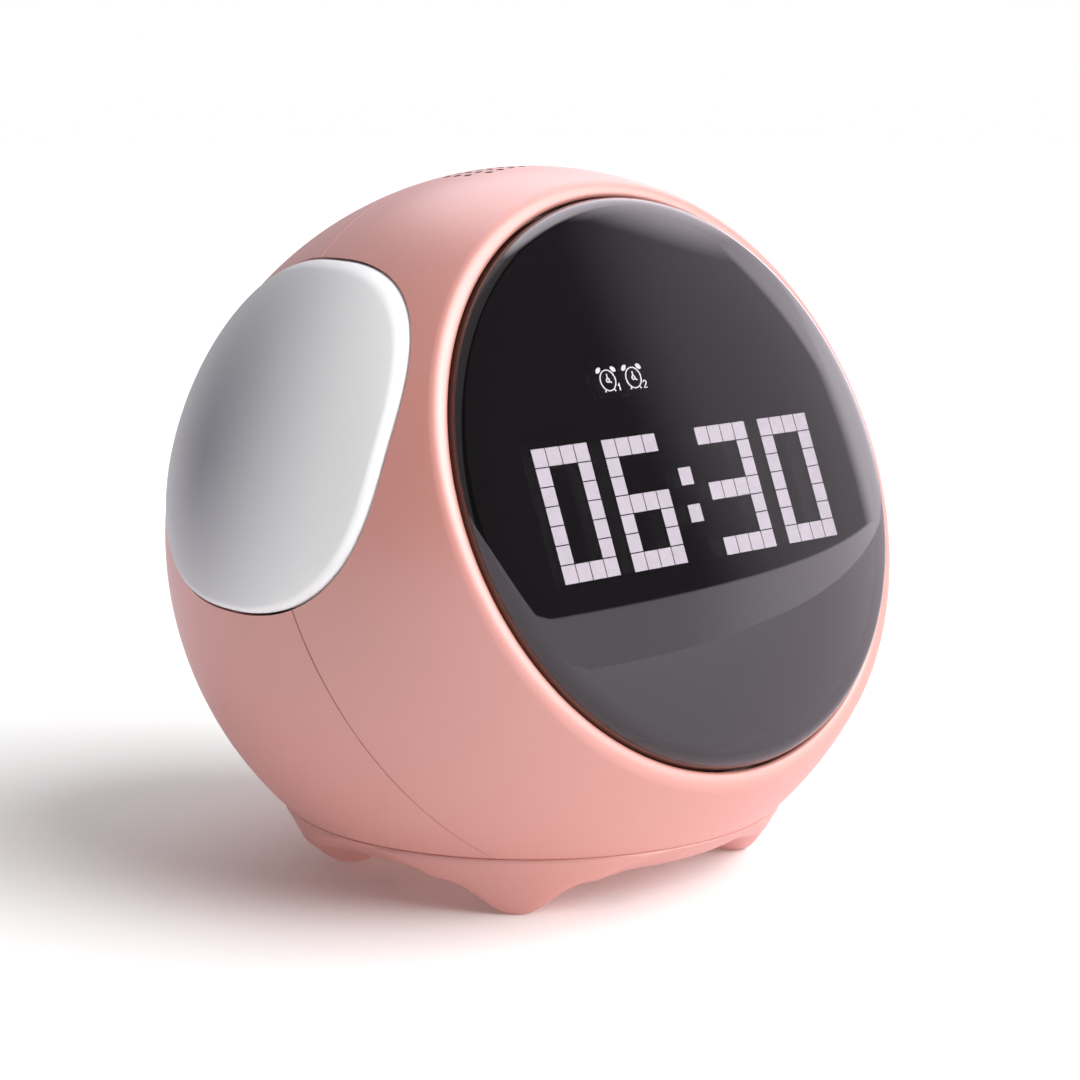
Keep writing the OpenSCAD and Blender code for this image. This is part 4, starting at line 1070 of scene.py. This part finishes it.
def screw(length):
    """A pan-head screw that points up, with a cross recess below."""
    head = arc((HEAD_R - HEAD_ROUND, HEAD_ROUND - HEAD_H), HEAD_ROUND, -90, 0, 5)
    shank = [(HEAD_R, 0), (SCREW_R, 0), (SCREW_R, length - TIP_L), (TIP_R, length), (0, length)]
    body = turned([(0, -HEAD_H)] + head + shank, closed=False, steps=32)
    slots = [CROSS, (CROSS[1], CROSS[0], CROSS[2])]
    return carved(body, [box(slot, (0, 0, -HEAD_H)) for slot in slots])


def make_screws(name, node, points, length, material):
    """Screws at (x, y) points, with their heads sunk into the base plate."""
    screws = [moved(screw(length), Matrix.Translation((x, CENTRE.y + y, FOOT_H + SINK_DEPTH)))
              for x, y in points]
    finished(name, joined(screws), [material], "clock", [node])


# ---- Finishes ----

# Satin pink ABS off a finely eroded mould: soft wide highlights and no visible texture.
pink = grained("satin_moulded_pink_abs", "#C6887F", 0.36, 0.35, 0.012,
               inputs={"IOR": 1.55, "Specular IOR Level": 1.0})
# Eroded black ABS: keeps the surround of the cells dead dark behind the lens; on the walls of the
# sound holes it is painted shade.
black = grained("eroded_black_abs", "#141216", 0.6, 0.3, 0.02)
# Nearly white ABS of the keys.
ivory = grained("satin_moulded_white_abs", "#F0EEEB", 0.4, 0.35, 0.012)
# Pad-printed grey on the raised marks.
ink = grained("pad_printed_grey_ink", "#77717A", 0.6, 0.2, 0.01)
# Cut foam: matt, with open cells.
foam = grained("cut_black_foam", "#17171A", 0.95, 0.4, 0.15)
# Shrink wrap on the cell: glossy with faint waves.
wrap = grained("shrunk_blue_pvc", "#386BA8", 0.22, 3.0, 0.06)
# Pressed paper cone: fibrous and matt.
paper = grained("pressed_black_paper", "#1F1F1F", 0.9, 0.5, 0.08)
# Extruded sheaths of the leads: smooth, with a soft gloss along them.
red = grained("extruded_red_pvc", "#A6292A", 0.35, 0.6, 0.01)
grey = grained("extruded_grey_pvc", "#404042", 0.35, 0.6, 0.01)
# Cast epoxy of the lamps: glossy and pale yellow from the phosphor in it.
clear = grained("clear_cast_epoxy", "#EBE6C7", 0.15, 1.0, 0.005)
# Zinc-plated screws: bluish, clouded, between matt and bright.
zinc = plated("zinc_plated_steel", "#A9ABB0", 0.34)
# Nickel-plated shell of the socket: warmer and brighter than zinc.
nickel = plated("nickel_plated_steel", "#B4B2AE", 0.25)
# Gold flash on the contacts: yellow and bright.
gold = plated("gold_plated_bronze", "#D9A94E", 0.22)
# Lacquer of the boards: glossy, with the copper as paler lines.
green = solder_mask("lacquered_green_board", "#1A5233", "#2E7A4A")
white_board = solder_mask("lacquered_white_board", "#F0F0ED", "#DAD9D2")
# Frosted films over the lamps: bright enough to read white through the smoke.
lit_cell = lit_film("lit_cell_film", "#FCFBFD", 9.6)
lit_symbol = lit_film("lit_symbol_film", "#FCFCFC", 13.0)
# Milky silicone of the night lights: a soft pale glow without a sharp highlight, with painted shade
# towards the back of each ear and painted light towards its front.
milk = milky_silicone()

# ---- Building ----

make_camera()
finish = {
    "shell_abs": pink, "foam": foam, "black_abs": black, "circuit_board": green,
    "led_white": clear, "steel": zinc, "white_abs": ivory, "white_board": white_board,
    "cell_wrap": wrap, "speaker_paper": paper, "button_abs": ivory, "red_lead": red,
    "grey_lead": grey,
}
for part in frame["record"]["subparts"]:
    slots = frame["nodes"][part["node"]].data.materials
    slots.clear()
    slots.append(finish.get(part["material_slot"], black))

lens_object = make_lens(smoked_polycarbonate(), painted_rim_reflection())
make_casings(pink, black)
make_base(pink)
make_digits(lit_cell, black)
make_symbols(lit_symbol, black)
right_ear_object = make_ear(1, "right_night_light", "right_ear_body", "right_ear", milk)
make_ear(-1, "left_night_light", "left_ear_body", "left_ear", milk)
make_rear_panel(pink)
make_key(-1, "minus", "minus_button", ivory, ink)
make_key(0, "menu", "mode_button", ivory, ink)
make_key(1, "plus", "plus_button", ivory, ink)
make_port(nickel, black, gold)
make_screws("base_plate_screws", "base_screws", BASE_SCREWS, BASE_SCREW_L, zinc)
make_screws("cradle_foot_screws", "cradle_screws", CRADLE_SCREWS, CRADLE_SCREW_L, zinc)

# ---- Floor, lamps and surroundings ----

FLOOR_HALF = 3.0
FLOOR_GLOW = 0.06
FLOOR_BOUNCE = 0.45
FLOOR_SEEN = "#F2F2F2"
FLOOR_MIRRORED = "#DFD2DD"
ROOM_TINT = "#FFF5FF"

# Each lamp's direction in the camera's axes, its level and its width in degrees.
LAMPS = {
    "key": ((0.73, 0.567, 0.38), 1.15, 60),
    "gleam": ((0.70, 0.52, 0.48), 0.2, 25),
    "fill": ((0.95, 0.05, 0.3), 0.18, 50),
}
# Light on matt surfaces: the ceiling's direction in the camera's axes, and its levels.
CEILING = (0.4, 0.75, -0.55)
CEILING_SPREAD = (0.05, 1.0)
CEILING_LEVELS = (0.03, 0.95)
# The room that gloss mirrors. A lobe is its middle, and the cosines of the angles where it starts
# and where it is full.
RIGHT = ((1, 0, 0), 0.45, 0.85)
BEHIND = ((0, 1, 0), -0.03, 0.03)
CLOUD = ((0.9, -0.3, 0.33), 0.80, 0.98)
CLOUD_LEVELS = (0.07, 0.5)
# Pale patches over it: a lobe, and its levels at the left and the right of the room.
PATCHES = {
    "wall behind": (BEHIND, 0.35, 0.35),
    "right of the wall behind": (BEHIND, 0.0, 1.3),
    "far window": (((0.9, 0.44, 0), 0.86, 1.0), 2.5, 2.5),
    "side window": (((0.958, 0.287, 0), 0.91, 0.96), 1.6, 1.6),
    "high window": (((0.6, 0.35, 0.72), 0.83, 0.93), 2.8, 2.8),
    "top of the wall": (((0.45, 0.65, 0.6), 0.6, 0.95), 0.75, 0.75),
    "under the horizon": (((0, -0.139, -0.99), -0.004, 0.004), 1.08, 1.62),
}


def direction(right, up, back):
    """A world direction from one in the camera's axes."""
    return (camera_axes() @ Vector((right, up, back))).normalized()


def make_sun(name, towards, level, angle, spared):
    """A soft lamp at a distance that lights all but the spared objects; 1 is full light."""
    data = bpy.data.lights.new(name, "SUN")
    data.energy = level * math.pi
    data.angle = math.radians(angle)
    lamp = bpy.data.objects.new(name, data)
    lamp.rotation_euler = towards.to_track_quat("Z", "Y").to_euler()
    bpy.context.scene.collection.objects.link(lamp)
    receivers = bpy.data.collections.new(name + "_receivers")
    for thing in spared:
        receivers.objects.link(thing)
    for entry in receivers.collection_objects:
        entry.light_linking.link_state = "EXCLUDE"
    lamp.light_linking.receiver_collection = receivers


def make_floor():
    """A white table that lights matt surfaces from below more than it shows."""
    bm = bmesh.new()
    bmesh.ops.create_grid(bm, x_segments=1, y_segments=1, size=FLOOR_HALF)
    mesh = bpy.data.meshes.new("floor")
    bm.to_mesh(mesh)
    bm.free()
    floor = bpy.data.objects.new("floor", mesh)
    bpy.context.scene.collection.objects.link(floor)
    material, tree, shader = new_material("matt_white_table", {
        "Roughness": 0.8, "Emission Color": (1, 1, 1, 1)})
    mesh.materials.append(material)
    path = tree.nodes.new("ShaderNodeLightPath").outputs
    colour = add_node(tree, "ShaderNodeMix", {"data_type": "RGBA"},
                      {"A": srgb(FLOOR_SEEN), "B": srgb(FLOOR_MIRRORED)},
                      {"Factor": path["Is Glossy Ray"]}, "Result")
    glow = add_node(tree, "ShaderNodeMapRange",
                    inputs={"To Min": FLOOR_GLOW, "To Max": FLOOR_BOUNCE},
                    links={"Value": path["Is Diffuse Ray"]})
    tree.links.new(glow, shader.inputs["Emission Strength"])
    tree.links.new(colour, shader.inputs["Base Color"])


def lobe(tree, where, towards, start, full):
    """1 within an angle of a direction, 0 outside another; both are cosines."""
    facing = add_node(tree, "ShaderNodeVectorMath", {"operation": "DOT_PRODUCT"}, {1: towards},
                      {0: where}, "Value")
    return add_node(tree, "ShaderNodeMapRange", {"interpolation_type": "SMOOTHSTEP"},
                    {"From Min": start, "From Max": full}, {"Value": facing})


def mirrored_room(tree, where):
    """Level of the room as gloss mirrors it: dark in front, with pale patches at the right."""
    level = add_node(tree, "ShaderNodeMapRange",
                     inputs={"To Min": CLOUD_LEVELS[0], "To Max": CLOUD_LEVELS[1]},
                     links={"Value": lobe(tree, where, *CLOUD)})
    right = lobe(tree, where, *RIGHT)
    for shape, at_left, at_right in PATCHES.values():
        strength = add_node(tree, "ShaderNodeMapRange",
                            inputs={"To Min": at_left, "To Max": at_right},
                            links={"Value": right})
        patch = add_node(tree, "ShaderNodeMath", {"operation": "MULTIPLY"},
                         links={0: lobe(tree, where, *shape), 1: strength})
        level = add_node(tree, "ShaderNodeMath", {"operation": "MAXIMUM"},
                         links={0: patch, 1: level})
    return level


def make_room():
    """White as seen and through glass, a soft ceiling for matt surfaces, a room for gloss."""
    world = bpy.data.worlds.new("studio")
    world.use_nodes = True
    bpy.context.scene.world = world
    tree = world.node_tree
    where = add_node(tree, "ShaderNodeTexCoord", output="Generated")
    ceiling = lobe(tree, where, direction(*CEILING), *CEILING_SPREAD)
    level = add_node(tree, "ShaderNodeMapRange",
                     inputs={"To Min": CEILING_LEVELS[0], "To Max": CEILING_LEVELS[1]},
                     links={"Value": ceiling})
    path = tree.nodes.new("ShaderNodeLightPath").outputs
    level = add_node(tree, "ShaderNodeMix", links={
        "Factor": path["Is Glossy Ray"], "A": level, "B": mirrored_room(tree, where)})
    for ray in ("Is Transmission Ray", "Is Camera Ray"):
        level = add_node(tree, "ShaderNodeMix", inputs={"B": 1.0},
                         links={"Factor": path[ray], "A": level})
    tint = add_node(tree, "ShaderNodeMix", {"data_type": "RGBA"},
                    {"A": (1, 1, 1, 1), "B": srgb(ROOM_TINT)},
                    {"Factor": path["Is Glossy Ray"]}, "Result")
    background = tree.nodes["Background"]
    tree.links.new(tint, background.inputs["Color"])
    tree.links.new(level, background.inputs["Strength"])


make_floor()
for name, (towards, level, angle) in LAMPS.items():
    make_sun(name, direction(*towards), level, angle, [lens_object, right_ear_object])
make_room()
bpy.context.scene.view_settings.view_transform = "Standard"
